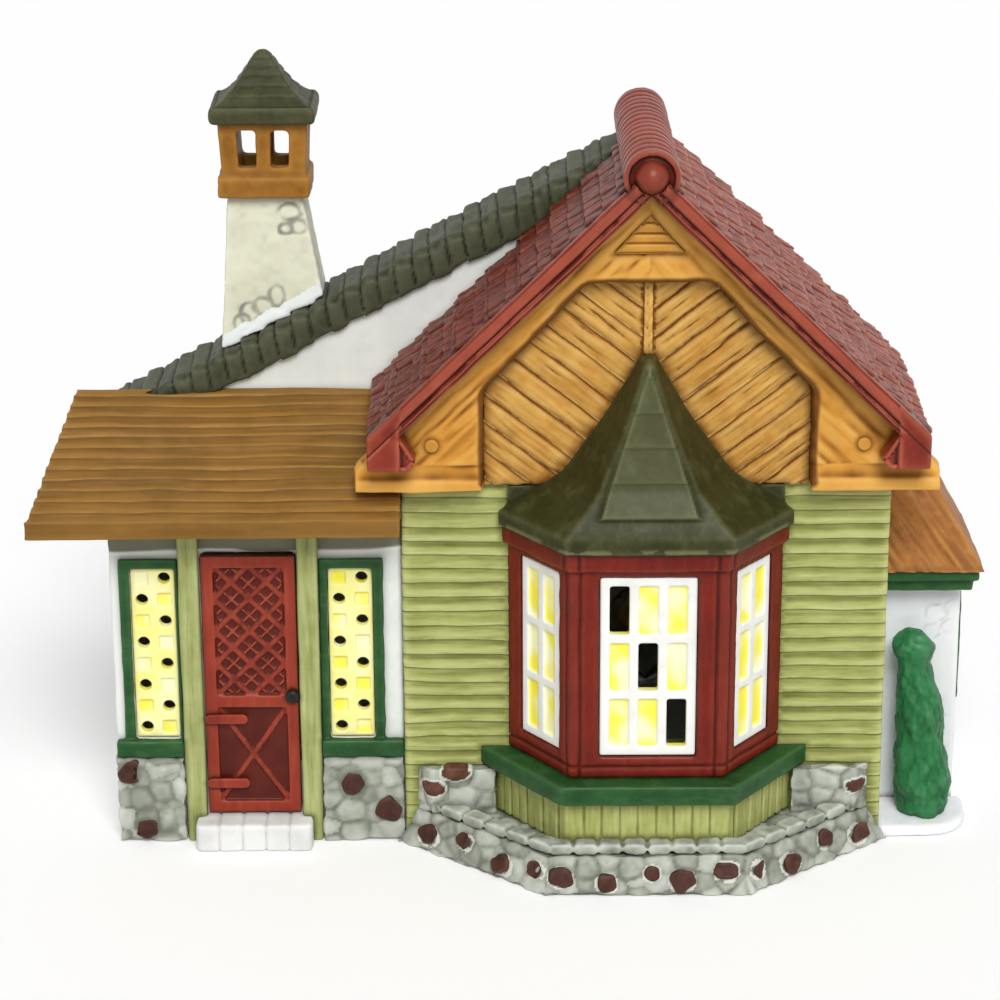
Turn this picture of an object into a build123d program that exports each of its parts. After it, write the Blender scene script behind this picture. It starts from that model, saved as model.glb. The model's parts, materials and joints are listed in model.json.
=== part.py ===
"""A lighted porcelain village house: painted castings luted into one hollow shell, with a clip-in lamp.

Millimetres, +Z up, +X to the house's right, +Y to its back.
The origin is on the base plane, under the middle of the main front wall's face.
"""

import os
from math import atan2, cos, degrees, hypot, radians, sin, tan

from build123d import *

# Driving dimensions of the whole house
WALL = 3.5
EAVE_Z = 99.1
HOUSE_DEPTH = 46.0
ROOF_PITCH = 44.4
CATSLIDE_PITCH = 27.9
WING_W = 64.0
ENTRY_SETBACK = 3.0
WING_GABLE_Y = 30.0
LEANTO_W = 18.5
LEANTO_FRONT_Y = 17.0
OVERRUN = 5.0
LUTE_GAP = 0.15

# Main front wall and its clapboards
LAP_COUNT = 15
LAP_DEPTH = 0.7

# Red roof, ridge roll and rakes
ROOF_T = 5.0
ROOF_FRONT_Y = -9.0
ROOF_BACK_LIP = 1.5
ROOF_LIP = 6.0
TILE_COURSE_COUNT = 9
TILE_STEP = 0.8
RIDGE_R = 5.9
RIDGE_RISE = 4.0
RIDGE_FRONT_LIP = 2.5
RIDGE_GROOVE_COUNT = 15
RIDGE_GROOVE_R = 0.6
RIDGE_DISC_R = 4.8
RIDGE_DISC_T = 1.2
RAKE_T = 3.0
RAKE_W = 4.6
RAKE_NOTCH_IN = 6.2
RAKE_LEG_OUT = 0.6
RAKE_FLARE = 3.6
RAKE_FLARE_H = 2.2
RAKE_FOOT_DROP = 1.6

# Gable panel, barge frame and vent
PANEL_T = 2.0
PANEL_GROOVE = 0.5
PANEL_BOARD_COUNT = 9
PANEL_BOARD_W = 6.4
PANEL_BOARD_LEAN = 38.0
PANEL_POST_W = 2.4
PANEL_POST_T = 0.6
BARGE_T = 6.0
BARGE_LIP = 9.5
BARGE_TIP_DROP = 4.8
LEDGE_H = 2.6
LEDGE_T = 0.9
LEDGE_BOARD_H = 6.2
ARCH_TOP_DROP = 20.0
ARCH_TOP_HALF = 13.0
ARCH_SHOULDER_RISE = 22.0
ARCH_HALF = 35.0
ARCH_ROUND = 5.0
STUD_R = 1.5
STUD_T = 0.7
STUD_IN = 7.0
STUD_RISE = 10.5
VENT_HALF = 8.0
VENT_FOOT_DROP = 14.0
VENT_H = 9.0
VENT_T = 1.2
VENT_RECESS = 1.6
VENT_SLAT_COUNT = 4

# Left wing: walls, green catslide roof
CATSLIDE_T = 3.5
CATSLIDE_LIP = 4.0
CATSLIDE_FRONT_LIP = 2.0
SHINGLE_COUNT = 22
SHINGLE_STEP = 0.9
LINTEL_Z = 72.0

# Entry front, roof, posts, door and step
ENTRY_ROOF_EAVE_Y = -9.0
ENTRY_ROOF_EAVE_Z = 80.0
ENTRY_ROOF_TOP_Z = 98.0
ENTRY_ROOF_T = 4.0
ENTRY_ROOF_LIP = 16.0
ENTRY_ROOF_TOP_LIP = 8.5
ENTRY_LAP_COUNT = 13
ENTRY_LAP_STEP = 0.9
POST_W = 4.6
POST_T = 2.6
POST_LEFT_IN = 46.6
POST_RIGHT_IN = 20.6
HEADER_H = 6.0
DOOR_POST_GAP = 0.2
DOOR_SILL_GAP = 0.3
DOOR_H = 61.5
DOOR_T = 3.0
DOOR_PROUD = 1.6
DOOR_RAIL = 2.8
DOOR_RECESS = 0.9
DOOR_BAR = 1.1
DOOR_MID_SHARE = 0.44
HINGE_L = 9.5
HINGE_W = 2.2
HINGE_T = 0.8
HINGE_LOW_Z = 14.0
HINGE_HIGH_Z = 29.5
LATCH_R = 1.5
LATCH_T = 1.4
LATCH_Z = 35.0
STEP_W = 26.0
STEP_REACH = 8.0
STEP_H = 6.2
STEP_BLOCK_COUNT = 5
STEP_JOINT = 0.7
STEP_ROUND = 1.6

# Entry side windows
SIDE_WIN_H = 40.5
SIDE_WIN_W = 10.0
SIDE_WIN_FOOT_Z = 24.3
SIDE_WIN_LEFT_IN = 54.6
SIDE_WIN_RIGHT_IN = 11.4
SIDE_WIN_T = 2.4
SIDE_ROW_COUNT = 8
SIDE_PANE = 3.1
SIDE_PANE_DEEP = 0.6
SIDE_HOLE_R = 1.35
SIDE_FRAME_W = 2.3
SIDE_FRAME_T = 1.3
SIDE_SILL_H = 4.0
SIDE_SILL_T = 2.4

# Stone dado under the entry windows
ENTRY_STONE_T = 2.8

# Bay window
BAY_WALL_HALF = 30.0
BAY_SIDE_WALL = 23.0
BAY_SPLAY = 13.5
BAY_REACH = 18.0
BAY_FOOT_Z = 23.5
BAY_HEAD_DROP = 9.0
BAY_WALL = 3.0
BAY_STILE = 6.0
BAY_WIN_SILL = 5.0
BAY_WIN_HEAD = 6.0
BAY_SIDE_WIN_W = 13.6
BAY_PANEL_T = 2.4
BAY_PANEL_SET = 0.5
BAY_PANE_DEEP = 0.7
BAY_PANE_GAP = 2.0
BAY_ROW_COUNT = 3
BAY_MARGIN = 2.2
BAY_BAND_H = 4.4
BAY_BAND_T = 1.0
BAY_ROOF_H = 38.5
BAY_ROOF_LIP = 2.7
BAY_ROOF_TIP_REACH = 8.8
BAY_ROOF_WALL = 3.0
# height share and width share of each section of the bell-cast bay roof
BAY_ROOF_SHAPE = ((0, 1), (0.09, 1), (0.13, 0.93), (0.18, 0.83), (0.33, 0.57), (0.63, 0.31), (1, 0.05))
BAY_SILL_H = 4.5
BAY_SILL_LIP = 5.0
BAY_APRON_LIP = 2.2
BAY_FLUTE_COUNT = 9
BAY_FLUTE_W = 0.7
BAY_APRON_WALL = 4.0

# Stone plinth
PLINTH_LEDGE = 9.5
PLINTH_FRONT_OUT = 6.0
PLINTH_SIDE_OUT = 2.0
PLINTH_TOP_Z = 8.0
PLINTH_BATTER = 3.0
KERB_W = 3.8
KERB_H = 2.4
KERB_ROUND = 0.9
KERB_FRONT_COUNT = 8
KERB_SIDE_COUNT = 6
KERB_JOINT = 0.5
DADO_T = 3.0

# Right lean-to, fascia, shrub, pad and side window
LEANTO_EAVE_Z = 60.0
LEANTO_EAVE_LIP = 7.0
LEANTO_SIDE_LIP = 4.0
LEANTO_TOP_Z = 83.0
LEANTO_TOP_BACK = 11.0
LEANTO_TOP_W = 9.0
LEANTO_ROOF_T = 3.5
FASCIA_H = 5.2
FASCIA_T = 1.6
FASCIA_RIM_H = 2.6
FASCIA_STEP = 1.2
PAD_H = 2.4
PAD_FRONT_Y = 1.0
PAD_OUT = 2.0
PAD_ROUND = 9.0
SHRUB_H = 46.5
SHRUB_R = 6.4
SHRUB_IN = 10.6
SHRUB_GAP = 0.1
SHRUB_SHAPE = ((0.85, 0), (1, 0.25), (0.8, 0.62), (0.42, 0.9), (0, 1))
SIDE_LIGHT_W = 11.0
SIDE_LIGHT_H = 22.0
SIDE_LIGHT_FOOT_Z = 26.0

# Chimney
STACK_LEFT_IN = 23.5
STACK_W = 26.0
STACK_TOP_LEFT_IN = 2.5
STACK_TOP_RIGHT_IN = 7.0
STACK_D = 14.5
STACK_BACK_IN = 0.5
STACK_TOP_INSET = 1.6
STACK_H = 38.5
STACK_WALL = 3.0
LANTERN_W = 18.4
LANTERN_D = 14.5
LANTERN_H = 17.0
LANTERN_BAND_H = 4.6
LANTERN_BAND_OUT = 0.9
LANTERN_SLOT_W = 3.8
LANTERN_SLOT_H = 8.2
LANTERN_SLOT_X = 3.5
CAP_OUT = 2.0
CAP_RIM_H = 2.6
CAP_H = 14.5
CAP_TIP = 2.2
CAP_COURSE_COUNT = 5
CAP_STEP = 0.6

# Lamp
LAMP_Z = 42.0
LAMP_HOLE_R = 15.0
LAMP_FLANGE_LIP = 4.0
LAMP_FLANGE_T = 2.0
LAMP_BODY_WALL = 2.1
LAMP_BODY_IN = 15.0
LAMP_BODY_OUT = 10.0
LAMP_BORE_R = 6.9
LAMP_BORE_DEEP = 15.6
CORD_INLET_R = 2.3
SHELL_T = 0.6
SHELL_L = 14.0
CONTACT_R = 3.0
CONTACT_T = 1.0
SHEET_T = 0.6
CLIP_LEAF_COUNT = 3
CLIP_LEAF_W = 6.0
CLIP_RUN_GAP = 0.3
CLIP_COLLAR_L = 4.0
BULB_GAP = 0.25
BULB_BASE_L = 12.4
BULB_TIP_R = 2.4
BULB_TIP_L = 0.8
BULB_R = 10.0
BULB_L = 39.0
BULB_GLASS_T = 0.8
# share along the glass and share of its radius
BULB_SHAPE = ((0, 0.54), (0.12, 0.66), (0.36, 1), (0.62, 0.78), (0.86, 0.32), (1, 0))
FILAMENT_R = 0.3
FILAMENT_HALF = 2.4
FILAMENT_REACH = 17.0
STEM_R = 2.6
STEM_L = 8.0

# Brown field stones: along a facet from its middle, up it, and size, as shares
STONE_R = 2.6
STONE_T = 1.2
FRONT_STONES = ((-0.42, 0.45, 1), (-0.2, 0.3, 0.8), (0.02, 0.55, 0.7), (0.17, 0.35, 1), (0.38, 0.6, 1))
SIDE_STONES = ((-0.42, 0.55, 0.8), (-0.2, 0.35, 1.0), (0.06, 0.6, 0.8), (0.3, 0.4, 1.0))
DADO_STONES = {
    "left": ((0.14, 0.84, 1.05), (0.4, 0.16, 0.95)),
    "right": ((0.38, 0.7, 1.0), (0.8, 0.36, 1.05)),
}

# Worked out from the driving dimensions
ROOF_TAN = tan(radians(ROOF_PITCH))
CATSLIDE_TAN = tan(radians(CATSLIDE_PITCH))
MAIN_HALF = BAY_WALL_HALF + BAY_SIDE_WALL
APEX_Z = EAVE_Z + MAIN_HALF * ROOF_TAN
WING_LEFT = MAIN_HALF + WING_W
LEANTO_RIGHT = MAIN_HALF + LEANTO_W
ROOF_FOOT_X = MAIN_HALF + ROOF_LIP
BARGE_TIP_X = MAIN_HALF + BARGE_LIP
BARGE_FOOT_Z = APEX_Z - BARGE_TIP_X * ROOF_TAN - BARGE_TIP_DROP
CLAPBOARD_FOOT_Z = BAY_FOOT_Z - BAY_SILL_H
ARCH_TOP_Z = APEX_Z - ARCH_TOP_DROP
ARCH_SHOULDER_Z = BARGE_FOOT_Z + ARCH_SHOULDER_RISE
VENT_FOOT_Z = APEX_Z - VENT_FOOT_DROP
VENT_TOP_Z = VENT_FOOT_Z + VENT_H
STUD_X = MAIN_HALF - STUD_IN
STUD_Z = BARGE_FOOT_Z + STUD_RISE
CATSLIDE_EAVE_X = WING_LEFT + CATSLIDE_LIP
ENTRY_ROOF_LEFT = WING_LEFT + ENTRY_ROOF_LIP
ENTRY_ROOF_TOP_LEFT = WING_LEFT + ENTRY_ROOF_TOP_LIP
POST_LEFT_X = -(MAIN_HALF + POST_LEFT_IN)
POST_RIGHT_X = -(MAIN_HALF + POST_RIGHT_IN)
DOOR_W = POST_RIGHT_X - POST_LEFT_X - POST_W - 2 * DOOR_POST_GAP
DOOR_FOOT_Z = STEP_H + DOOR_SILL_GAP
DOOR_TOP_Z = DOOR_FOOT_Z + DOOR_H
SIDE_WIN_LEFT_X = -(MAIN_HALF + SIDE_WIN_LEFT_IN)
SIDE_WIN_RIGHT_X = -(MAIN_HALF + SIDE_WIN_RIGHT_IN)
ENTRY_STONE_H = SIDE_WIN_FOOT_Z - SIDE_SILL_H
BAY_FRONT_HALF = BAY_WALL_HALF - BAY_SPLAY
BAY_HEAD_Z = BARGE_FOOT_Z - BAY_HEAD_DROP
BAY_WIN_W = 2 * (BAY_FRONT_HALF - BAY_STILE)
BAY_WIN_FOOT_Z = BAY_FOOT_Z + BAY_WIN_SILL
BAY_WIN_TOP_Z = BAY_HEAD_Z - BAY_WIN_HEAD
BAY_ROOF_APEX_Z = BAY_HEAD_Z + BAY_ROOF_H
PLINTH_REACH = BAY_REACH + PLINTH_LEDGE
PLINTH_FRONT_HALF = BAY_FRONT_HALF + PLINTH_FRONT_OUT
LEANTO_TOP_IN = LEANTO_W + LEANTO_SIDE_LIP - LEANTO_TOP_W
SHRUB_X = MAIN_HALF + SHRUB_IN
STACK_LEFT_X = STACK_LEFT_IN - WING_LEFT
STACK_RIGHT_X = STACK_LEFT_X + STACK_W
STACK_TOP_LEFT_X = STACK_LEFT_X + STACK_TOP_LEFT_IN
STACK_TOP_RIGHT_X = STACK_RIGHT_X - STACK_TOP_RIGHT_IN
STACK_BACK_Y = HOUSE_DEPTH + ROOF_BACK_LIP - STACK_BACK_IN
STACK_FRONT_Y = STACK_BACK_Y - STACK_D
STACK_FOOT_Z = APEX_Z + STACK_LEFT_X * CATSLIDE_TAN
STACK_TOP_Z = STACK_FOOT_Z + STACK_H
LAMP_FLANGE_R = LAMP_HOLE_R + LAMP_FLANGE_LIP
LAMP_BODY_R = LAMP_BORE_R + LAMP_BODY_WALL
BULB_BASE_R = LAMP_BORE_R - LUTE_GAP - SHELL_T - BULB_GAP


def roof_under_z(x):
    """Height of the red roof's underside at a distance from the ridge."""
    return APEX_Z - abs(x) * ROOF_TAN


def catslide_under_z(x):
    """Height of the green roof's underside at a distance from the ridge."""
    return APEX_Z - abs(x) * CATSLIDE_TAN


def half_hexagon(wall_half, front_half, reach, grow, back_y):
    """Plan of a half hexagon on the wall plane, grown outwards on its three free sides."""
    slope = (wall_half - front_half) / reach
    half = wall_half + grow * hypot(1, slope)
    front_y = -(reach + grow)
    front, back = half + front_y * slope, half + back_y * slope
    return [(-back, back_y), (-front, front_y), (front, front_y), (back, back_y)]


def bay_outline(grow, back_y=0):
    """Plan of the bay, grown by a lip."""
    return half_hexagon(BAY_WALL_HALF, BAY_FRONT_HALF, BAY_REACH, grow, back_y)


def plinth_outline(inset):
    """Plan of the stone plinth, drawn in by a batter."""
    return half_hexagon(MAIN_HALF + PLINTH_SIDE_OUT, PLINTH_FRONT_HALF, PLINTH_REACH, -inset, 0)


def facet_plane(start, end, batter=0):
    """Plane on one upright facet of a plan: x along it, y up it, facing out; batter is run over rise."""
    along = Vector(end[0] - start[0], end[1] - start[1], 0).normalized()
    up = Vector(-along.Y * batter, along.X * batter, 1)
    middle = ((start[0] + end[0]) / 2, (start[1] + end[1]) / 2, 0)
    return Plane(origin=middle, x_dir=along, z_dir=along.cross(up))


def facet_length(start, end):
    """Length of one straight stretch of a plan outline."""
    return hypot(end[0] - start[0], end[1] - start[1])


def finish(piece, name):
    """Labels a piece and writes its file."""
    piece.label = name
    export_step(piece, f"parts/{name}.step")


os.makedirs("parts", exist_ok=True)

# Main front wall: overlapping boards below, a plain gable above, with the bay's opening
lap_h = (BARGE_FOOT_Z - CLAPBOARD_FOOT_Z) / LAP_COUNT
with BuildPart() as front_wall:
    with BuildSketch(Plane.XZ.offset(-WALL)):
        with BuildLine():
            Polyline(
                (-MAIN_HALF, 0), (MAIN_HALF, 0), (MAIN_HALF, roof_under_z(MAIN_HALF)),
                (0, APEX_Z), (-MAIN_HALF, roof_under_z(MAIN_HALF)), close=True,
            )
        make_face()
    extrude(amount=WALL - LAP_DEPTH)
    with BuildSketch(Plane.YZ.offset(-MAIN_HALF)):
        with BuildLine():
            teeth = [(LAP_DEPTH, 0), (0, 0), (0, CLAPBOARD_FOOT_Z)]
            for lap in range(LAP_COUNT):
                foot = CLAPBOARD_FOOT_Z + lap * lap_h
                teeth += [(0, foot), (LAP_DEPTH * (1 - 1 / LAP_COUNT), foot + lap_h)]
            Polyline(*dict.fromkeys(teeth), (LAP_DEPTH, BARGE_FOOT_Z), close=True)
        make_face()
    extrude(amount=2 * MAIN_HALF)
    # a flat landing behind the bay
    with BuildSketch(Plane.XZ.offset(-LAP_DEPTH)):
        with Locations((0, (CLAPBOARD_FOOT_Z + BARGE_FOOT_Z) / 2)):
            Rectangle(2 * BAY_WALL_HALF, BARGE_FOOT_Z - CLAPBOARD_FOOT_Z)
    extrude(amount=LAP_DEPTH)
    with BuildSketch(Plane.XZ.offset(OVERRUN)):
        with Locations((0, (BAY_FOOT_Z + BAY_HEAD_Z) / 2)):
            Rectangle(2 * (BAY_WALL_HALF - BAY_WALL), BAY_HEAD_Z - BAY_FOOT_Z)
    extrude(amount=-(WALL + 2 * OVERRUN), mode=Mode.SUBTRACT)
finish(front_wall.part, "front_wall")

# Gable: plank panel inside the arch of a thick barge frame, with a slatted vent and two pegs
panel_front_y = LAP_DEPTH - PANEL_T
barge_front_y = LAP_DEPTH - BARGE_T


# The arch and the vent's triangle, drawn once and used by every piece that meets them
with BuildSketch() as arch:
    with BuildLine():
        FilletPolyline(
            (-ARCH_HALF, BARGE_FOOT_Z), (-ARCH_HALF, ARCH_SHOULDER_Z), (-ARCH_TOP_HALF, ARCH_TOP_Z),
            (ARCH_TOP_HALF, ARCH_TOP_Z), (ARCH_HALF, ARCH_SHOULDER_Z), (ARCH_HALF, BARGE_FOOT_Z),
            radius=ARCH_ROUND,
        )
        Line((ARCH_HALF, BARGE_FOOT_Z), (-ARCH_HALF, BARGE_FOOT_Z))
    make_face()
with BuildSketch() as vent_hole:
    with BuildLine():
        Polyline((-VENT_HALF, VENT_FOOT_Z), (VENT_HALF, VENT_FOOT_Z), (0, VENT_TOP_Z), close=True)
    make_face()

with BuildPart() as gable_panel:
    with BuildSketch(Plane.XZ.offset(-LAP_DEPTH)):
        add(arch.sketch_local)
    extrude(amount=PANEL_T)
    # grooves between boards that lean away from the middle post on both sides
    with BuildSketch(Plane.XZ.offset(-panel_front_y)):
        for side in (-1, 1):
            for board in range(PANEL_BOARD_COUNT):
                rise = BARGE_FOOT_Z + board * PANEL_BOARD_W
                with Locations((side * ARCH_HALF / 2, rise)):
                    Rectangle(2 * ARCH_HALF, PANEL_GROOVE, rotation=side * PANEL_BOARD_LEAN)
        add(arch.sketch_local, mode=Mode.INTERSECT)
    extrude(amount=-PANEL_GROOVE, mode=Mode.SUBTRACT)
    with BuildSketch(Plane.XZ.offset(-panel_front_y)):
        with Locations((0, (BAY_ROOF_APEX_Z + ARCH_TOP_Z) / 2)):
            Rectangle(PANEL_POST_W, ARCH_TOP_Z - BAY_ROOF_APEX_Z)
    extrude(amount=PANEL_POST_T)
finish(gable_panel.part, "gable_panel")

with BuildPart() as barge_frame:
    with BuildSketch(Plane.XZ.offset(-LAP_DEPTH)):
        with BuildLine():
            tip_z = roof_under_z(BARGE_TIP_X) + LUTE_GAP
            Polyline(
                (-BARGE_TIP_X, BARGE_FOOT_Z), (BARGE_TIP_X, BARGE_FOOT_Z), (BARGE_TIP_X, tip_z),
                (ROOF_FOOT_X, roof_under_z(ROOF_FOOT_X)), (0, APEX_Z),
                (-ROOF_FOOT_X, roof_under_z(ROOF_FOOT_X)), (-BARGE_TIP_X, tip_z), close=True,
            )
        make_face()
        add(arch.sketch_local, mode=Mode.SUBTRACT)
    extrude(amount=BARGE_T)
    with BuildSketch(Plane.XZ.offset(-barge_front_y)):
        add(vent_hole.sketch_local)
    extrude(amount=-VENT_RECESS, mode=Mode.SUBTRACT)
    # a ledge along the foot, and the joint of the board that carries it
    ledge_mid_x = (ARCH_HALF + BARGE_TIP_X) / 2
    with BuildSketch(Plane.XZ.offset(-barge_front_y)):
        with Locations(*[(side * ledge_mid_x, BARGE_FOOT_Z + LEDGE_H / 2) for side in (-1, 1)]):
            Rectangle(BARGE_TIP_X - ARCH_HALF, LEDGE_H)
    extrude(amount=LEDGE_T)
    with BuildSketch(Plane.XZ.offset(-barge_front_y)):
        with Locations(*[(side * ledge_mid_x, BARGE_FOOT_Z + LEDGE_BOARD_H) for side in (-1, 1)]):
            Rectangle(BARGE_TIP_X - ARCH_HALF, PANEL_GROOVE)
    extrude(amount=-PANEL_GROOVE, mode=Mode.SUBTRACT)
finish(barge_frame.part, "barge_frame")

slat_pitch = (VENT_TOP_Z - VENT_FOOT_Z) / (VENT_SLAT_COUNT + 1)
with BuildPart() as gable_vent:
    with BuildSketch(Plane.XZ.offset(-(barge_front_y + VENT_RECESS))):
        offset(vent_hole.sketch_local, amount=-LUTE_GAP, kind=Kind.INTERSECTION)
    extrude(amount=VENT_T)
    with BuildSketch(Plane.XZ.offset(-(barge_front_y + VENT_RECESS - VENT_T))):
        for slat in range(1, VENT_SLAT_COUNT):
            with Locations((0, VENT_FOOT_Z + slat * slat_pitch)):
                Rectangle(2 * VENT_HALF, slat_pitch / VENT_SLAT_COUNT)
    extrude(amount=-VENT_T / 2, mode=Mode.SUBTRACT)
finish(gable_vent.part, "gable_vent")

with BuildPart() as barge_pegs:
    with BuildSketch(Plane.XZ.offset(-barge_front_y)):
        with Locations((-STUD_X, STUD_Z), (STUD_X, STUD_Z)):
            Circle(STUD_R)
    extrude(amount=STUD_T)
    fillet(barge_pegs.faces().sort_by(Axis.Y)[0:2].edges(), radius=STUD_T / 2)
finish(barge_pegs.part, "barge_pegs")


def stepped_slope(start_x, start_z, pitch, length, thick, rows, step, side):
    """Section of a tiled slope: flat underside, stepped top, falling away from the ridge on one side."""
    lean, rise = cos(radians(pitch)), sin(radians(pitch))

    def at(along, up):
        return side * (start_x + along * lean + up * rise), start_z - along * rise + up * lean

    first = -thick * rise / lean
    row = (length - first) / rows
    points = [(0, start_z), at(length, 0)]
    for tile in reversed(range(rows)):
        points += [at(first + (tile + 1) * row, thick), at(first + tile * row, thick - step)]
    points[-1] = (0, start_z + (thick - step) / lean)
    return points


# Red tiled slopes: the right one runs the house's full depth, the left one stops at the wing's gable wall
red_length = ROOF_FOOT_X / cos(radians(ROOF_PITCH))
red_back_y = {-1: WING_GABLE_Y, 1: HOUSE_DEPTH + ROOF_BACK_LIP}
red_slopes = {}
for side, slope_name in ((-1, "red_roof_left"), (1, "red_roof_right")):
    with BuildPart() as red_roof:
        with BuildSketch(Plane.XZ.offset(-ROOF_FRONT_Y)):
            with BuildLine():
                Polyline(
                    *stepped_slope(
                        0, APEX_Z, ROOF_PITCH, red_length, ROOF_T, TILE_COURSE_COUNT, TILE_STEP, side
                    ),
                    close=True,
                )
            make_face()
            # the slope's foot is cut upright, flush with the rake's leg
            with Locations((side * (ROOF_FOOT_X + RAKE_LEG_OUT + ROOF_T), EAVE_Z)):
                Rectangle(2 * ROOF_T, 4 * ROOF_T, mode=Mode.SUBTRACT)
        extrude(amount=-(red_back_y[side] - ROOF_FRONT_Y))
    red_slopes[side] = red_roof.part
    finish(red_roof.part, slope_name)

# Green shingled catslide: from the ridge down over the left wing, behind the wing's gable wall
catslide_front_y = WING_GABLE_Y - CATSLIDE_FRONT_LIP
catslide_back_y = HOUSE_DEPTH + ROOF_BACK_LIP
catslide_length = CATSLIDE_EAVE_X / cos(radians(CATSLIDE_PITCH))
with BuildPart() as catslide_roof:
    with BuildSketch(Plane.XZ.offset(-catslide_front_y)):
        with BuildLine():
            Polyline(
                *stepped_slope(
                    0, APEX_Z, CATSLIDE_PITCH, catslide_length, CATSLIDE_T, SHINGLE_COUNT, SHINGLE_STEP, -1
                ),
                close=True,
            )
        make_face()
    extrude(amount=-(catslide_back_y - catslide_front_y))
    add(red_slopes[-1], mode=Mode.SUBTRACT)
finish(catslide_roof.part, "catslide_roof")

# Ridge roll: a grooved tube over the ridge, closed in front by a raised ring around a domed boss
ridge_z = APEX_Z + RIDGE_RISE
ridge_front_y = ROOF_FRONT_Y - RIDGE_FRONT_LIP
ridge_back_y = HOUSE_DEPTH + ROOF_BACK_LIP
groove_pitch = (ridge_back_y - ridge_front_y) / (RIDGE_GROOVE_COUNT + 1)
groove_ys = [ridge_front_y + (n + 1) * groove_pitch for n in range(RIDGE_GROOVE_COUNT)]
with BuildPart() as ridge_roll:
    with BuildSketch(Plane.YZ):
        with Locations(((ridge_front_y + ridge_back_y) / 2, ridge_z + RIDGE_R / 2)):
            Rectangle(ridge_back_y - ridge_front_y, RIDGE_R)
        with Locations(*[(groove_y, ridge_z + RIDGE_R) for groove_y in groove_ys]):
            Circle(RIDGE_GROOVE_R, mode=Mode.SUBTRACT)
        with Locations((ridge_front_y, ridge_z)):
            Rectangle(2 * RIDGE_DISC_T, 2 * RIDGE_DISC_R, mode=Mode.SUBTRACT)
    revolve(axis=Axis((0, 0, ridge_z), (0, 1, 0)))
    with Locations((0, ridge_front_y + RIDGE_DISC_T, ridge_z)):
        Sphere(RIDGE_DISC_R - RIDGE_DISC_T)
    add(red_slopes[-1], mode=Mode.SUBTRACT)
    add(red_slopes[1], mode=Mode.SUBTRACT)
    add(catslide_roof.part, mode=Mode.SUBTRACT)
    # what would hang under the roofs is taken off
    with BuildSketch(Plane.XZ.offset(-ridge_front_y + OVERRUN)):
        with BuildLine():
            under = 2 * RIDGE_R
            Polyline((0, APEX_Z), (under, roof_under_z(under)), (-under, roof_under_z(under)), close=True)
        make_face()
    extrude(amount=-(ridge_back_y - ridge_front_y + 2 * OVERRUN), mode=Mode.SUBTRACT)
    with BuildSketch(Plane.XZ.offset(-WING_GABLE_Y)):
        with BuildLine():
            Polyline(
                (0, APEX_Z), (-under, catslide_under_z(under)), (-under, roof_under_z(under)), close=True
            )
        make_face()
    extrude(amount=-(ridge_back_y - WING_GABLE_Y + OVERRUN), mode=Mode.SUBTRACT)
finish(ridge_roll.part, "ridge_roll")

# Rakes: the red moulding along each gable edge, whose foot turns upright and flares over the barge frame
rake_lean, rake_rise = cos(radians(ROOF_PITCH)), sin(radians(ROOF_PITCH))
rake_over = RAKE_W / rake_lean
leg_out_x = ROOF_FOOT_X + RAKE_LEG_OUT
leg_foot_z = roof_under_z(ROOF_FOOT_X) - RAKE_FOOT_DROP
notch_x = ROOF_FOOT_X - RAKE_NOTCH_IN
for side, rake_name in ((-1, "rake_left"), (1, "rake_right")):
    with BuildPart() as rake:
        with BuildSketch(Plane.XZ.offset(-barge_front_y)):
            with BuildLine():
                Polyline(
                    (side * notch_x, roof_under_z(notch_x)),
                    (side * (notch_x - RAKE_FLARE), leg_foot_z + RAKE_FLARE_H),
                    (side * (notch_x - RAKE_FLARE / 2), leg_foot_z), (side * leg_out_x, leg_foot_z),
                    (side * leg_out_x, roof_under_z(leg_out_x) + rake_over),
                    (side * notch_x, roof_under_z(notch_x) + rake_over), close=True,
                )
            make_face()
        extrude(amount=barge_front_y - ROOF_FRONT_Y + RAKE_T)
        with BuildSketch(Plane.XZ.offset(-ROOF_FRONT_Y)):
            with BuildLine():
                Polyline(
                    (0, APEX_Z), (side * notch_x, roof_under_z(notch_x)),
                    (side * notch_x, roof_under_z(notch_x) + rake_over), (0, APEX_Z + rake_over),
                    close=True,
                )
            make_face()
        extrude(amount=RAKE_T)
        fillet(rake.faces().sort_by(Axis.Y)[0].outer_wire().edges(), radius=RAKE_T / 4)
        for beside in (red_slopes[side], ridge_roll.part, barge_frame.part):
            add(beside, mode=Mode.SUBTRACT)
    finish(rake.part, rake_name)

# Walls of the wing and the house's back, which holds the lamp
entry_roof_run = WING_GABLE_Y - ENTRY_ROOF_EAVE_Y
entry_roof_fall = (ENTRY_ROOF_TOP_Z - ENTRY_ROOF_EAVE_Z) / entry_roof_run
entry_roof_drop = ENTRY_ROOF_T * hypot(1, entry_roof_fall)


def entry_under_z(y):
    """Height of the entry roof's underside at a depth."""
    return ENTRY_ROOF_EAVE_Z + (y - ENTRY_ROOF_EAVE_Y) * entry_roof_fall - entry_roof_drop


wall_back_y = HOUSE_DEPTH - WALL
entry_back_y = ENTRY_SETBACK + WALL
with BuildPart() as left_wall:
    with BuildSketch(Plane.YZ.offset(-WING_LEFT)):
        with BuildLine():
            Polyline(
                (entry_back_y, 0), (wall_back_y, 0), (wall_back_y, catslide_under_z(WING_LEFT)),
                (catslide_front_y, catslide_under_z(WING_LEFT)),
                (catslide_front_y, entry_under_z(catslide_front_y)),
                (entry_back_y, entry_under_z(entry_back_y)), close=True,
            )
        make_face()
    extrude(amount=WALL)
finish(left_wall.part, "left_wall")

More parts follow.
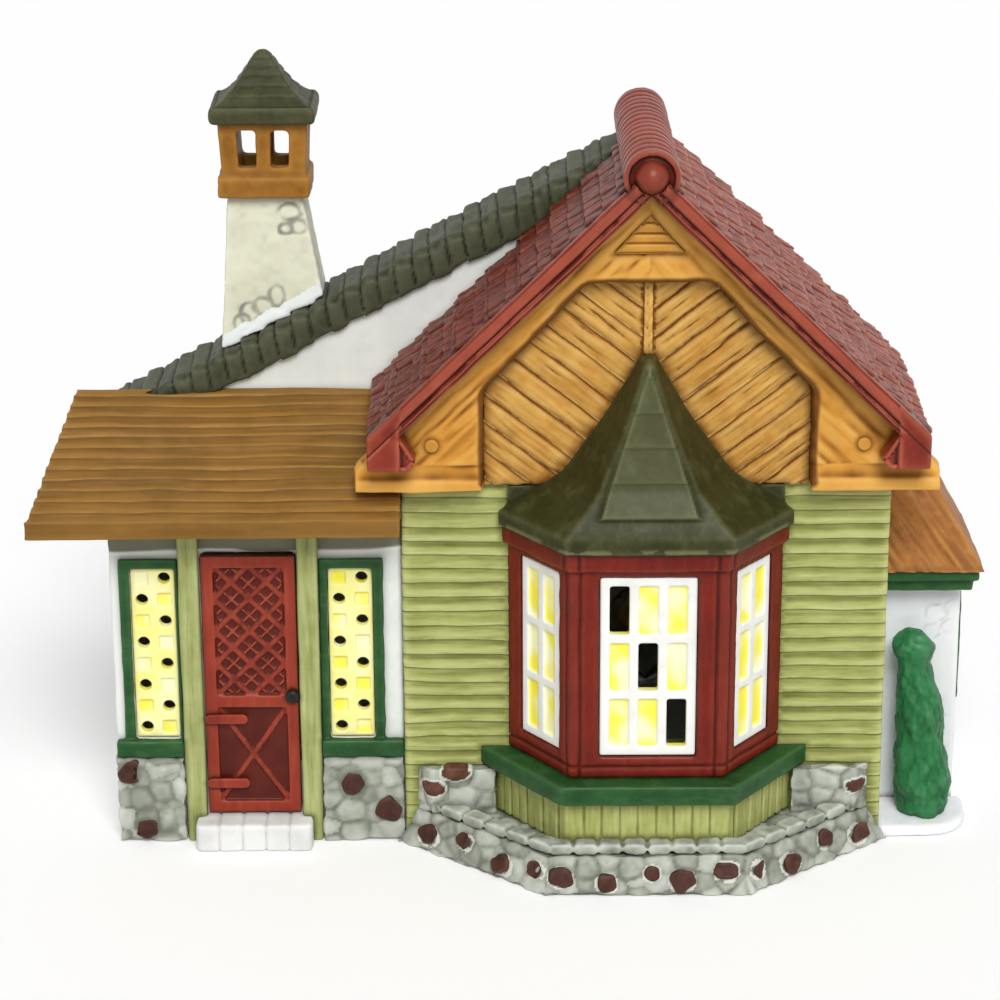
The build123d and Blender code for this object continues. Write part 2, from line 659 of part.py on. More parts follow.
with BuildPart() as wing_gable:
    with BuildSketch(Plane.XZ.offset(-WING_GABLE_Y)):
        inner_left = WING_LEFT - WALL
        with BuildLine():
            Polyline(
                (-inner_left, LINTEL_Z), (0, LINTEL_Z), (0, APEX_Z),
                (-inner_left, catslide_under_z(inner_left)), close=True,
            )
        make_face()
    extrude(amount=-WALL)
finish(wing_gable.part, "wing_gable")

with BuildPart() as back_wall:
    with BuildSketch(Plane.XZ.offset(-HOUSE_DEPTH)):
        with BuildLine():
            Polyline(
                (-WING_LEFT, 0), (LEANTO_RIGHT, 0), (LEANTO_RIGHT, LEANTO_EAVE_Z),
                (MAIN_HALF, LEANTO_EAVE_Z), (MAIN_HALF, roof_under_z(MAIN_HALF)), (0, APEX_Z),
                (-WING_LEFT, catslide_under_z(WING_LEFT)), close=True,
            )
        make_face()
        with Locations((0, LAMP_Z)):
            Circle(LAMP_HOLE_R, mode=Mode.SUBTRACT)
    extrude(amount=WALL)
finish(back_wall.part, "back_wall")

# Entry front: a plain wall with a doorway and two window openings
door_x = (POST_LEFT_X + POST_RIGHT_X) / 2
door_mid_z = (DOOR_FOOT_Z + DOOR_TOP_Z) / 2
side_win_mid_z = SIDE_WIN_FOOT_Z + SIDE_WIN_H / 2
side_win_xs = {"left": SIDE_WIN_LEFT_X, "right": SIDE_WIN_RIGHT_X}
with BuildPart() as entry_front:
    with BuildSketch(Plane.YZ.offset(-WING_LEFT)):
        with BuildLine():
            Polyline(
                (ENTRY_SETBACK, 0), (entry_back_y, 0), (entry_back_y, entry_under_z(entry_back_y)),
                (ENTRY_SETBACK, entry_under_z(ENTRY_SETBACK)), close=True,
            )
        make_face()
    extrude(amount=WING_LEFT - MAIN_HALF)
    with BuildSketch(Plane.XZ.offset(-ENTRY_SETBACK + OVERRUN)):
        with Locations(*[(x, side_win_mid_z) for x in side_win_xs.values()]):
            Rectangle(SIDE_WIN_W, SIDE_WIN_H)
        with Locations((door_x, door_mid_z)):
            Rectangle(DOOR_W, DOOR_TOP_Z - DOOR_FOOT_Z)
    extrude(amount=-(WALL + 2 * OVERRUN), mode=Mode.SUBTRACT)
finish(entry_front.part, "entry_front")

post_front_y = ENTRY_SETBACK - POST_T
header_foot_z = entry_under_z(post_front_y) - HEADER_H
with BuildPart() as entry_posts:
    with BuildSketch(Plane.XY):
        with Locations(*[(x, ENTRY_SETBACK - POST_T / 2) for x in (POST_LEFT_X, POST_RIGHT_X)]):
            Rectangle(POST_W, POST_T)
    extrude(amount=header_foot_z)
    fillet(entry_posts.edges().filter_by(Axis.Z).group_by(Axis.Y)[0], radius=POST_T / 3)
finish(entry_posts.part, "entry_posts")

with BuildPart() as entry_header:
    with BuildSketch(Plane.XZ.offset(-ENTRY_SETBACK)):
        with Locations((-(WING_LEFT + MAIN_HALF) / 2, header_foot_z + HEADER_H / 2)):
            Rectangle(WING_LEFT - MAIN_HALF, HEADER_H)
    extrude(amount=POST_T)
finish(entry_header.part, "entry_header")

# Side windows: a lattice panel set into the wall, pierced in every other pane, in a green frame with a sill
pane_pitch = SIDE_WIN_H / SIDE_ROW_COUNT
post_sides = {"left": POST_LEFT_X - POST_W / 2, "right": POST_RIGHT_X + POST_W / 2}
wall_fields = {"left": (-WING_LEFT, post_sides["left"]), "right": (post_sides["right"], -MAIN_HALF)}
for side_name, win_x in side_win_xs.items():
    with BuildPart() as side_window:
        with BuildSketch(Plane.XZ.offset(-(ENTRY_SETBACK + SIDE_WIN_T))):
            with Locations((win_x, side_win_mid_z)):
                Rectangle(SIDE_WIN_W - 2 * LUTE_GAP, SIDE_WIN_H - 2 * LUTE_GAP)
        extrude(amount=SIDE_WIN_T)
        solid_panes, open_panes = [], []
        for row in range(SIDE_ROW_COUNT):
            for column in (-1, 1):
                place = (win_x + column * SIDE_WIN_W / 4, SIDE_WIN_FOOT_Z + (row + 1 / 2) * pane_pitch)
                (open_panes if (row % 2 == 0) == (column < 0) else solid_panes).append(place)
        with BuildSketch(Plane.XZ.offset(-ENTRY_SETBACK)):
            with Locations(*solid_panes):
                Rectangle(SIDE_PANE, SIDE_PANE)
        extrude(amount=-SIDE_PANE_DEEP, mode=Mode.SUBTRACT)
        with BuildSketch(Plane.XZ.offset(-ENTRY_SETBACK)):
            with Locations(*open_panes):
                Circle(SIDE_HOLE_R)
        extrude(amount=-SIDE_WIN_T, mode=Mode.SUBTRACT)
    finish(side_window.part, f"entry_window_{side_name}")

    low_x, high_x = wall_fields[side_name]
    with BuildPart() as side_frame:
        with BuildSketch(Plane.XZ.offset(-ENTRY_SETBACK)):
            with Locations((win_x, side_win_mid_z + SIDE_FRAME_W / 2)):
                Rectangle(SIDE_WIN_W + 2 * SIDE_FRAME_W, SIDE_WIN_H + SIDE_FRAME_W)
            with Locations((win_x, side_win_mid_z)):
                Rectangle(SIDE_WIN_W, SIDE_WIN_H, mode=Mode.SUBTRACT)
        extrude(amount=SIDE_FRAME_T)
        with BuildSketch(Plane.XZ.offset(-ENTRY_SETBACK)):
            with Locations(((low_x + high_x) / 2, SIDE_WIN_FOOT_Z - SIDE_SILL_H / 2)):
                Rectangle(high_x - low_x, SIDE_SILL_H)
        extrude(amount=SIDE_SILL_T)
        add(entry_posts.part, mode=Mode.SUBTRACT)
    finish(side_frame.part, f"entry_frame_{side_name}")

# Front door: a stile-and-rail slab with a diagonal lattice above and a cross-braced panel below
door_front_y = ENTRY_SETBACK - DOOR_PROUD
door_h = DOOR_TOP_Z - DOOR_FOOT_Z
rail_z = DOOR_FOOT_Z + door_h * DOOR_MID_SHARE
panel_w = DOOR_W - 4 * DOOR_RAIL / 2
upper_h = DOOR_TOP_Z - DOOR_RAIL - rail_z - DOOR_RAIL / 2
lower_h = rail_z - DOOR_RAIL / 2 - DOOR_FOOT_Z - DOOR_RAIL
upper_mid_z = rail_z + DOOR_RAIL / 2 + upper_h / 2
lower_mid_z = DOOR_FOOT_Z + DOOR_RAIL + lower_h / 2
lattice_pitch = panel_w / 2
with BuildPart() as front_door:
    with BuildSketch(Plane.XZ.offset(-door_front_y)):
        with Locations((door_x, door_mid_z)):
            Rectangle(DOOR_W - 2 * LUTE_GAP, door_h - 2 * LUTE_GAP)
    extrude(amount=-DOOR_T)
    with BuildSketch(Plane.XZ.offset(-door_front_y)):
        with Locations((door_x, upper_mid_z)):
            Rectangle(panel_w, upper_h)
        with Locations((door_x, lower_mid_z)):
            Rectangle(panel_w, lower_h)
    extrude(amount=-DOOR_RECESS, mode=Mode.SUBTRACT)
    with BuildSketch(Plane.XZ.offset(-(door_front_y + DOOR_RECESS))):
        for lean_sign in (-1, 1):
            for bar in range(-2, 3):
                with Locations((door_x, upper_mid_z + bar * lattice_pitch)):
                    Rectangle(2 * upper_h, DOOR_BAR, rotation=lean_sign * degrees(atan2(1, 1)))
        with Locations((door_x, upper_mid_z)):
            Rectangle(panel_w, upper_h, mode=Mode.INTERSECT)
    extrude(amount=DOOR_RECESS / 2)
    with BuildSketch(Plane.XZ.offset(-(door_front_y + DOOR_RECESS))):
        for lean_sign in (-1, 1):
            with Locations((door_x, lower_mid_z)):
                Rectangle(2 * lower_h, DOOR_BAR, rotation=lean_sign * degrees(atan2(lower_h, panel_w)))
        with Locations((door_x, lower_mid_z)):
            Rectangle(panel_w, lower_h, mode=Mode.INTERSECT)
    extrude(amount=DOOR_RECESS / 2)
finish(front_door.part, "front_door")

with BuildPart() as door_hinges:
    with BuildSketch(Plane.XZ.offset(-door_front_y)):
        with Locations(*[(door_x - DOOR_W / 2 + HINGE_L / 2, z) for z in (HINGE_LOW_Z, HINGE_HIGH_Z)]):
            SlotOverall(HINGE_L, HINGE_W)
    extrude(amount=HINGE_T)
finish(door_hinges.part, "door_hinges")

with BuildPart() as door_latch:
    with BuildSketch(Plane.XZ.offset(-door_front_y)):
        with Locations((door_x + DOOR_W / 2 - DOOR_RAIL / 2, LATCH_Z)):
            Circle(LATCH_R)
    extrude(amount=LATCH_T)
    fillet(door_latch.faces().sort_by(Axis.Y)[0].edges(), radius=LATCH_T / 2)
finish(door_latch.part, "door_latch")

step_joints = [door_x - STEP_W / 2 + n * STEP_W / STEP_BLOCK_COUNT for n in range(1, STEP_BLOCK_COUNT)]
with BuildPart() as door_step:
    with BuildSketch(Plane.XY):
        with Locations((door_x, ENTRY_SETBACK - STEP_REACH / 2)):
            Rectangle(STEP_W, STEP_REACH)
    extrude(amount=STEP_H)
    fillet(door_step.faces().sort_by(Axis.Y)[0].edges().filter_by(Axis.Z), radius=STEP_ROUND)
    fillet(door_step.faces().sort_by(Axis.Z)[-1].edges().group_by(Axis.Y)[0], radius=STEP_ROUND / 2)
    with BuildSketch(Plane.XZ.offset(-ENTRY_SETBACK)):
        with Locations(*[(joint_x, STEP_H) for joint_x in step_joints]):
            Rectangle(STEP_JOINT, 2 * STEP_JOINT)
    extrude(amount=STEP_REACH, mode=Mode.SUBTRACT)
    with BuildSketch(Plane.XY):
        with Locations(*[(joint_x, ENTRY_SETBACK - STEP_REACH) for joint_x in step_joints]):
            Rectangle(STEP_JOINT, 2 * STEP_JOINT)
    extrude(amount=STEP_H, mode=Mode.SUBTRACT)
    add(entry_posts.part, mode=Mode.SUBTRACT)
finish(door_step.part, "door_step")

# Entry roof: lapped boards on a low slope, with a left end that flares out towards the eave
board_run = entry_roof_run / ENTRY_LAP_COUNT
with BuildPart() as entry_roof:
    with BuildSketch(Plane.YZ.offset(-ENTRY_ROOF_LEFT)):
        with BuildLine():
            boards = [(y, entry_under_z(y)) for y in (WING_GABLE_Y, ENTRY_ROOF_EAVE_Y)]
            for board in range(ENTRY_LAP_COUNT):
                front = ENTRY_ROOF_EAVE_Y + board * board_run
                back = front + board_run
                boards += [(front, entry_under_z(front) + entry_roof_drop)]
                boards += [(back, entry_under_z(back) + entry_roof_drop - ENTRY_LAP_STEP)]
            Polyline(*boards, close=True)
        make_face()
    extrude(amount=ENTRY_ROOF_LEFT - MAIN_HALF)
    with BuildSketch(Plane.XY):
        with BuildLine():
            Polyline(
                (-ENTRY_ROOF_LEFT, ENTRY_ROOF_EAVE_Y), (-ENTRY_ROOF_TOP_LEFT, WING_GABLE_Y),
                (-ENTRY_ROOF_LEFT, WING_GABLE_Y), close=True,
            )
        make_face()
    extrude(amount=2 * ENTRY_ROOF_TOP_Z, mode=Mode.SUBTRACT)
    add(catslide_roof.part, mode=Mode.SUBTRACT)
    add(red_slopes[-1], mode=Mode.SUBTRACT)
    add(barge_frame.part, mode=Mode.SUBTRACT)
finish(entry_roof.part, "entry_roof")

# Bay: a half-hexagon frame with a header band, three window panels, floor sill, fluted apron and roof
bay_face = bay_outline(0)
bay_facets = {"left": bay_face[0:2], "front": bay_face[1:3], "right": bay_face[2:4]}
bay_widths = {"left": BAY_SIDE_WIN_W, "front": BAY_WIN_W, "right": BAY_SIDE_WIN_W}
bay_columns = {"left": 2, "front": 3, "right": 2}
bay_win_h = BAY_WIN_TOP_Z - BAY_WIN_FOOT_Z
bay_win_mid_z = (BAY_WIN_TOP_Z + BAY_WIN_FOOT_Z) / 2
with BuildSketch() as bay_hollow:
    with BuildLine():
        Polyline(*bay_outline(-BAY_WALL, OVERRUN), close=True)
    make_face()
with BuildPart() as bay_frame:
    with BuildSketch(Plane.XY.offset(BAY_FOOT_Z)):
        with BuildLine():
            Polyline(*bay_face, close=True)
        make_face()
    extrude(amount=BAY_HEAD_Z - BAY_FOOT_Z)
    with BuildSketch(Plane.XY.offset(BAY_HEAD_Z - BAY_BAND_H)):
        with BuildLine():
            Polyline(*bay_outline(BAY_BAND_T), close=True)
        make_face()
    extrude(amount=BAY_BAND_H)
    with BuildSketch(Plane.XY.offset(BAY_FOOT_Z)):
        add(bay_hollow.sketch_local)
    extrude(amount=BAY_HEAD_Z - BAY_FOOT_Z, mode=Mode.SUBTRACT)
    for bay_side, ends in bay_facets.items():
        with BuildSketch(facet_plane(*ends)):
            with Locations((0, bay_win_mid_z)):
                Rectangle(bay_widths[bay_side], bay_win_h)
        extrude(amount=-2 * BAY_WALL, mode=Mode.SUBTRACT)
finish(bay_frame.part, "bay_frame")

bay_row_h = (bay_win_h - 2 * BAY_MARGIN + BAY_PANE_GAP) / BAY_ROW_COUNT
for bay_side, ends in bay_facets.items():
    columns = bay_columns[bay_side]
    column_w = (bay_widths[bay_side] - 2 * BAY_MARGIN + BAY_PANE_GAP) / columns
    shut_panes, open_panes = [], []
    for row in range(BAY_ROW_COUNT):
        for column in range(columns):
            pane_x = (column - (columns - 1) / 2) * column_w
            pane_z = bay_win_mid_z + ((BAY_ROW_COUNT - 1) / 2 - row) * bay_row_h
            (open_panes if columns > 2 and row == column else shut_panes).append((pane_x, pane_z))
    with BuildPart() as bay_window:
        with BuildSketch(facet_plane(*ends).offset(-BAY_PANEL_SET)):
            with Locations((0, bay_win_mid_z)):
                Rectangle(bay_widths[bay_side] - 2 * LUTE_GAP, bay_win_h - 2 * LUTE_GAP)
        extrude(amount=-BAY_PANEL_T)
        with BuildSketch(facet_plane(*ends).offset(-BAY_PANEL_SET)):
            with Locations(*shut_panes):
                Rectangle(column_w - BAY_PANE_GAP, bay_row_h - BAY_PANE_GAP)
        extrude(amount=-BAY_PANE_DEEP, mode=Mode.SUBTRACT)
        if open_panes:
            with BuildSketch(facet_plane(*ends)):
                with Locations(*open_panes):
                    Rectangle(column_w - BAY_PANE_GAP, bay_row_h - BAY_PANE_GAP)
            extrude(amount=-2 * BAY_WALL, mode=Mode.SUBTRACT)
    finish(bay_window.part, f"bay_window_{bay_side}")

bay_roof_rise = BAY_ROOF_APEX_Z - BAY_HEAD_Z
bay_roof_plan = bay_outline(BAY_ROOF_LIP, panel_front_y)
eave_reach = BAY_REACH + BAY_ROOF_LIP
with BuildPart() as bay_roof:
    for wall_in, mode in ((0, Mode.ADD), (BAY_ROOF_WALL, Mode.SUBTRACT)):
        for height_share, width_share in BAY_ROOF_SHAPE[:len(BAY_ROOF_SHAPE) - (1 if wall_in else 0)]:
            half = max(bay_roof_plan[3][0] * width_share - wall_in * hypot(1, 1), wall_in)
            front = max(bay_roof_plan[2][0] * width_share - wall_in, wall_in / 2)
            reach = BAY_ROOF_TIP_REACH + (eave_reach - BAY_ROOF_TIP_REACH) * width_share - wall_in
            back_y = panel_front_y - wall_in
            with BuildSketch(Plane.XY.offset(BAY_HEAD_Z + bay_roof_rise * height_share)):
                with BuildLine():
                    Polyline((-half, back_y), (-front, -reach), (front, -reach), (half, back_y), close=True)
                make_face()
        loft(ruled=True, mode=mode)
    # the foot of the roof meets the wall under the gable panel
    with BuildSketch(Plane.XZ):
        with Locations((0, (BAY_HEAD_Z + BARGE_FOOT_Z) / 2)):
            Rectangle(2 * BAY_WALL_HALF, BARGE_FOOT_Z - BAY_HEAD_Z)
    extrude(amount=-panel_front_y)
finish(bay_roof.part, "bay_roof")

with BuildPart() as bay_sill:
    with BuildSketch(Plane.XY.offset(BAY_FOOT_Z - BAY_SILL_H)):
        with BuildLine():
            Polyline(*bay_outline(BAY_SILL_LIP), close=True)
        make_face()
    extrude(amount=BAY_SILL_H)
    fillet(bay_sill.edges().filter_by(Axis.Z).group_by(Axis.Y)[0], radius=STEP_ROUND)
finish(bay_sill.part, "bay_sill")

apron_plan = bay_outline(BAY_APRON_LIP)
with BuildPart() as bay_apron:
    with BuildSketch(Plane.XY.offset(PLINTH_TOP_Z)):
        with BuildLine():
            Polyline(*apron_plan, close=True)
        make_face()
    apron_h = BAY_FOOT_Z - BAY_SILL_H - PLINTH_TOP_Z
    extrude(amount=apron_h)
    with BuildSketch(Plane.XY.offset(PLINTH_TOP_Z)):
        with BuildLine():
            Polyline(*bay_outline(BAY_APRON_LIP - BAY_APRON_WALL, OVERRUN), close=True)
        make_face()
    extrude(amount=apron_h, mode=Mode.SUBTRACT)
    for ends in (apron_plan[0:2], apron_plan[1:3], apron_plan[2:4]):
        flute_pitch = facet_length(*ends) / BAY_FLUTE_COUNT
        with BuildSketch(facet_plane(*ends)):
            with Locations((0, PLINTH_TOP_Z + apron_h / 2)):
                with GridLocations(flute_pitch, apron_h, BAY_FLUTE_COUNT - 1, 1):
                    Rectangle(BAY_FLUTE_W, apron_h)
        extrude(amount=-BAY_FLUTE_W, mode=Mode.SUBTRACT)
finish(bay_apron.part, "bay_apron")

# Stone plinth under the bay, hollow from below, with dado blocks beside the bay and a kerb on its edge
plinth_foot = plinth_outline(0)
plinth_top = plinth_outline(PLINTH_BATTER)
with BuildPart() as plinth:
    for wall_in, top_z, mode in ((0, PLINTH_TOP_Z, Mode.ADD), (WALL, PLINTH_TOP_Z - WALL, Mode.SUBTRACT)):
        for level, inset in ((0, wall_in), (top_z, wall_in + PLINTH_BATTER * top_z / PLINTH_TOP_Z)):
            with BuildSketch(Plane.XY.offset(level)):
                with BuildLine():
                    Polyline(*plinth_outline(inset), close=True)
                make_face()
        loft(ruled=True, mode=mode)
finish(plinth.part, "plinth")

sill_foot_z = BAY_FOOT_Z - BAY_SILL_H
with BuildPart() as bay_dado:
    with BuildSketch(Plane.XZ):
        for side in (-1, 1):
            with Locations((side * (MAIN_HALF + apron_plan[3][0]) / 2, (PLINTH_TOP_Z + sill_foot_z) / 2)):
                Rectangle(MAIN_HALF - apron_plan[3][0], sill_foot_z - PLINTH_TOP_Z)
    extrude(amount=DADO_T)
    add(bay_apron.part, mode=Mode.SUBTRACT)
    with BuildSketch(Plane.XY.offset(PLINTH_TOP_Z)):
        with BuildLine():
            Polyline(*plinth_top, close=True)
        make_face()
        with Locations((0, -PLINTH_REACH / 2)):
            Rectangle(2 * MAIN_HALF, PLINTH_REACH, mode=Mode.INTERSECT)
    extrude(amount=sill_foot_z - PLINTH_TOP_Z, mode=Mode.INTERSECT)
finish(bay_dado.part, "bay_dado")

kerb_rows = {"left": plinth_top[0:2], "front": plinth_top[1:3], "right": plinth_top[2:4]}
kerb_counts = {"left": KERB_SIDE_COUNT, "front": KERB_FRONT_COUNT, "right": KERB_SIDE_COUNT}
with BuildPart() as kerb_stones:
    for row_side, ends in kerb_rows.items():
        stone_l = facet_length(*ends) / kerb_counts[row_side]
        with BuildSketch(facet_plane(*ends).offset(-KERB_ROUND / 2)):
            with Locations((0, PLINTH_TOP_Z + KERB_H / 2)):
                with GridLocations(stone_l, KERB_H, kerb_counts[row_side], 1):
                    RectangleRounded(stone_l - KERB_JOINT, KERB_H, KERB_ROUND)
        extrude(amount=-KERB_W)
    for beside in (bay_apron, bay_dado, front_wall):
        add(beside.part, mode=Mode.SUBTRACT)
finish(kerb_stones.part, "kerb_stones")

batter_h = hypot(PLINTH_TOP_Z, PLINTH_BATTER)
foot_rows = {"left": plinth_foot[0:2], "front": plinth_foot[1:3], "right": plinth_foot[2:4]}
with BuildPart() as plinth_stones:
    for row_side, ends in foot_rows.items():
        turn = -1 if row_side == "left" else 1
        with BuildSketch(facet_plane(*ends, PLINTH_BATTER / PLINTH_TOP_Z)):
            for along, up, size in FRONT_STONES if row_side == "front" else SIDE_STONES:
                with Locations((turn * along * facet_length(*ends), up * batter_h)):
                    Ellipse(STONE_R * size, STONE_R * size * (1 - STONE_T / PLINTH_TOP_Z))
        extrude(amount=STONE_T)
finish(plinth_stones.part, "plinth_stones")

# Rendered dado under the entry windows, with field stones on it
dado_front_y = ENTRY_SETBACK - ENTRY_STONE_T
with BuildPart() as entry_dado:
    with BuildSketch(Plane.XZ.offset(-ENTRY_SETBACK)):
        for low_x, high_x in wall_fields.values():
            with Locations(((low_x + high_x) / 2, ENTRY_STONE_H / 2)):
                Rectangle(high_x - low_x, ENTRY_STONE_H)
    extrude(amount=ENTRY_STONE_T)
    fillet(entry_dado.edges().filter_by(Axis.X).group_by(Axis.Y)[0].group_by(Axis.Z)[-1], radius=STEP_ROUND)
    add(door_step.part, mode=Mode.SUBTRACT)
finish(entry_dado.part, "entry_dado")

with BuildPart() as entry_stones:
    with BuildSketch(Plane.XZ.offset(-dado_front_y)):
        for field_side, (low_x, high_x) in wall_fields.items():
            for along, up, size in DADO_STONES[field_side]:
                with Locations((low_x + along * (high_x - low_x), up * ENTRY_STONE_H)):
                    Circle(STONE_R * size)
    extrude(amount=STONE_T)
    add(door_step.part, mode=Mode.SUBTRACT)
finish(entry_stones.part, "entry_stones")

# Right side: the main block's side wall and the lean-to with its roof, fascia and window
passage_y = LEANTO_FRONT_Y + WALL
with BuildPart() as main_right_wall:
    with BuildSketch(Plane.YZ.offset(MAIN_HALF)):
        wall_top_z = roof_under_z(MAIN_HALF)
        with Locations(((WALL + wall_back_y) / 2, wall_top_z / 2)):
            Rectangle(wall_back_y - WALL, wall_top_z)
        with Locations(((passage_y + wall_back_y) / 2, (LEANTO_EAVE_Z - FASCIA_H) / 2)):
            Rectangle(wall_back_y - passage_y, LEANTO_EAVE_Z - FASCIA_H, mode=Mode.SUBTRACT)
    extrude(amount=-WALL)
finish(main_right_wall.part, "main_right_wall")

side_light_y = (passage_y + wall_back_y) / 2
side_light_mid_z = SIDE_LIGHT_FOOT_Z + SIDE_LIGHT_H / 2
with BuildPart() as leanto_walls:
    with BuildSketch(Plane.XY):
        with BuildLine():
            Polyline(
                (MAIN_HALF, LEANTO_FRONT_Y), (LEANTO_RIGHT, LEANTO_FRONT_Y), (LEANTO_RIGHT, wall_back_y),
                (LEANTO_RIGHT - WALL, wall_back_y), (LEANTO_RIGHT - WALL, passage_y),
                (MAIN_HALF, passage_y), close=True,
            )
        make_face()
    extrude(amount=LEANTO_EAVE_Z)
    with BuildSketch(Plane.YZ.offset(LEANTO_RIGHT)):
        with Locations((side_light_y, side_light_mid_z)):
            Rectangle(SIDE_LIGHT_W, SIDE_LIGHT_H)
    extrude(amount=-WALL, mode=Mode.SUBTRACT)
finish(leanto_walls.part, "leanto_walls")

with BuildPart() as leanto_window:
    with BuildSketch(Plane.YZ.offset(LEANTO_RIGHT)):
        with Locations((side_light_y, side_light_mid_z)):
            Rectangle(SIDE_LIGHT_W - 2 * LUTE_GAP, SIDE_LIGHT_H - 2 * LUTE_GAP)
    extrude(amount=-SIDE_WIN_T)
    with BuildSketch(Plane.YZ.offset(LEANTO_RIGHT)):
        with Locations((side_light_y, side_light_mid_z)):
            with GridLocations(SIDE_LIGHT_W / 2, SIDE_LIGHT_H / 3, 2, 3):
                Rectangle(SIDE_PANE, SIDE_LIGHT_H / 3 - BAY_PANE_GAP)
    extrude(amount=-SIDE_PANE_DEEP, mode=Mode.SUBTRACT)
finish(leanto_window.part, "leanto_window")

with BuildPart() as leanto_window_frame:
    with BuildSketch(Plane.YZ.offset(LEANTO_RIGHT)):
        with Locations((side_light_y, side_light_mid_z)):
            Rectangle(SIDE_LIGHT_W + 2 * SIDE_FRAME_W, SIDE_LIGHT_H + 2 * SIDE_FRAME_W)
            Rectangle(SIDE_LIGHT_W, SIDE_LIGHT_H, mode=Mode.SUBTRACT)
    extrude(amount=SIDE_FRAME_T)
finish(leanto_window_frame.part, "leanto_window_frame")

eave_right = LEANTO_RIGHT + LEANTO_SIDE_LIP
eave_front = LEANTO_FRONT_Y - LEANTO_EAVE_LIP
eave_back = HOUSE_DEPTH + ROOF_BACK_LIP
roof_plans = (
    (
        Mode.ADD, LEANTO_TOP_Z, (eave_right, eave_front, eave_back),
        LEANTO_TOP_IN, LEANTO_TOP_BACK + LEANTO_EAVE_LIP, 0,
    ),
    (
        Mode.SUBTRACT, LEANTO_TOP_Z - LEANTO_ROOF_T, (LEANTO_RIGHT - WALL, passage_y, wall_back_y),
        LEANTO_TOP_IN - LEANTO_ROOF_T, LEANTO_TOP_BACK, LEANTO_ROOF_T,
    ),
)
with BuildPart() as leanto_roof:
    for mode, top_z, (right_x, front_y, back_y), right_in, front_in, wall_in in roof_plans:
        for level, in_x, in_y in ((LEANTO_EAVE_Z, 0, 0), (top_z, right_in, front_in)):
            low_x, high_x = MAIN_HALF + wall_in, right_x - in_x
            with BuildSketch(Plane.XY.offset(level)):
                with Locations(((low_x + high_x) / 2, (front_y + in_y + back_y) / 2)):
                    Rectangle(high_x - low_x, back_y - front_y - in_y)
        loft(ruled=True, mode=mode)
finish(leanto_roof.part, "leanto_roof")

fascia_bands = (
    (LEANTO_EAVE_Z - FASCIA_RIM_H, FASCIA_RIM_H, FASCIA_T / 2, FASCIA_T + FASCIA_STEP),
    (LEANTO_EAVE_Z - FASCIA_H, FASCIA_H - FASCIA_RIM_H, FASCIA_T / 2 + FASCIA_STEP, FASCIA_T),
)
with BuildPart() as leanto_fascia:
    for band_z, band_h, band_in, band_w in fascia_bands:
        band_x, band_y = eave_right - band_in, eave_front + band_in
        with BuildSketch(Plane.XY.offset(band_z)):
            with BuildLine():
                Polyline(
                    (MAIN_HALF, band_y), (band_x, band_y), (band_x, HOUSE_DEPTH),
                    (band_x - band_w, HOUSE_DEPTH), (band_x - band_w, band_y + band_w),
                    (MAIN_HALF, band_y + band_w), close=True,
                )
            make_face()
        extrude(amount=band_h)
finish(leanto_fascia.part, "leanto_fascia")

pad_right = LEANTO_RIGHT + PAD_OUT
with BuildPart() as snow_pad:
    with BuildSketch(Plane.XY):
        with Locations(((MAIN_HALF + pad_right) / 2, (PAD_FRONT_Y + LEANTO_FRONT_Y) / 2)):
            Rectangle(pad_right - MAIN_HALF, LEANTO_FRONT_Y - PAD_FRONT_Y)
    extrude(amount=PAD_H)
    fillet(snow_pad.edges().filter_by(Axis.Z).group_by(Axis.Y)[0].sort_by(Axis.X)[-1], radius=PAD_ROUND)
    fillet(snow_pad.faces().sort_by(Axis.Z)[-1].edges().group_by(Axis.Y)[0], radius=PAD_H / 2)
finish(snow_pad.part, "snow_pad")

shrub_y = LEANTO_FRONT_Y - SHRUB_R - SHRUB_GAP
with BuildPart() as shrub:
    with BuildSketch(Plane(origin=(SHRUB_X, shrub_y, PAD_H), x_dir=(1, 0, 0), z_dir=(0, -1, 0))):
        with BuildLine():
            outline = [(SHRUB_R * width, SHRUB_H * height) for width, height in SHRUB_SHAPE]
            Spline(*outline)
            Polyline(outline[-1], (0, 0), outline[0])
        make_face()
    revolve(axis=Axis((SHRUB_X, shrub_y, 0), (0, 0, 1)))
finish(shrub.part, "shrub")

# Chimney: a hollow tapered stack standing on the catslide, an open lantern and a stepped cap
stack_mid_y = (STACK_FRONT_Y + STACK_BACK_Y) / 2
lantern_x = (STACK_TOP_LEFT_X + STACK_TOP_RIGHT_X) / 2
stack_levels = (
    (STACK_FOOT_Z, STACK_LEFT_X, STACK_RIGHT_X, 0),
    (STACK_TOP_Z, STACK_TOP_LEFT_X, STACK_TOP_RIGHT_X, STACK_TOP_INSET),
)
with BuildPart() as chimney_stack:
    for wall_in, mode in ((0, Mode.ADD), (STACK_WALL, Mode.SUBTRACT)):
        for level, low_x, high_x, inset in stack_levels:
            depth = STACK_BACK_Y - STACK_FRONT_Y - 2 * (inset + wall_in)
            with BuildSketch(Plane.XY.offset(level)):
                with Locations(((low_x + high_x) / 2, stack_mid_y)):
                    Rectangle(high_x - low_x - 2 * wall_in, depth)
        loft(ruled=True, mode=mode)
    add(catslide_roof.part, mode=Mode.SUBTRACT)
    with BuildSketch(Plane.XZ.offset(-STACK_FRONT_Y + OVERRUN)):
        with BuildLine():
            Polyline(
                (0, APEX_Z), (-WING_LEFT, catslide_under_z(WING_LEFT)), (-WING_LEFT, 0), (0, 0), close=True
            )
        make_face()
    extrude(amount=-(STACK_BACK_Y - STACK_FRONT_Y + 2 * OVERRUN), mode=Mode.SUBTRACT)
finish(chimney_stack.part, "chimney_stack")

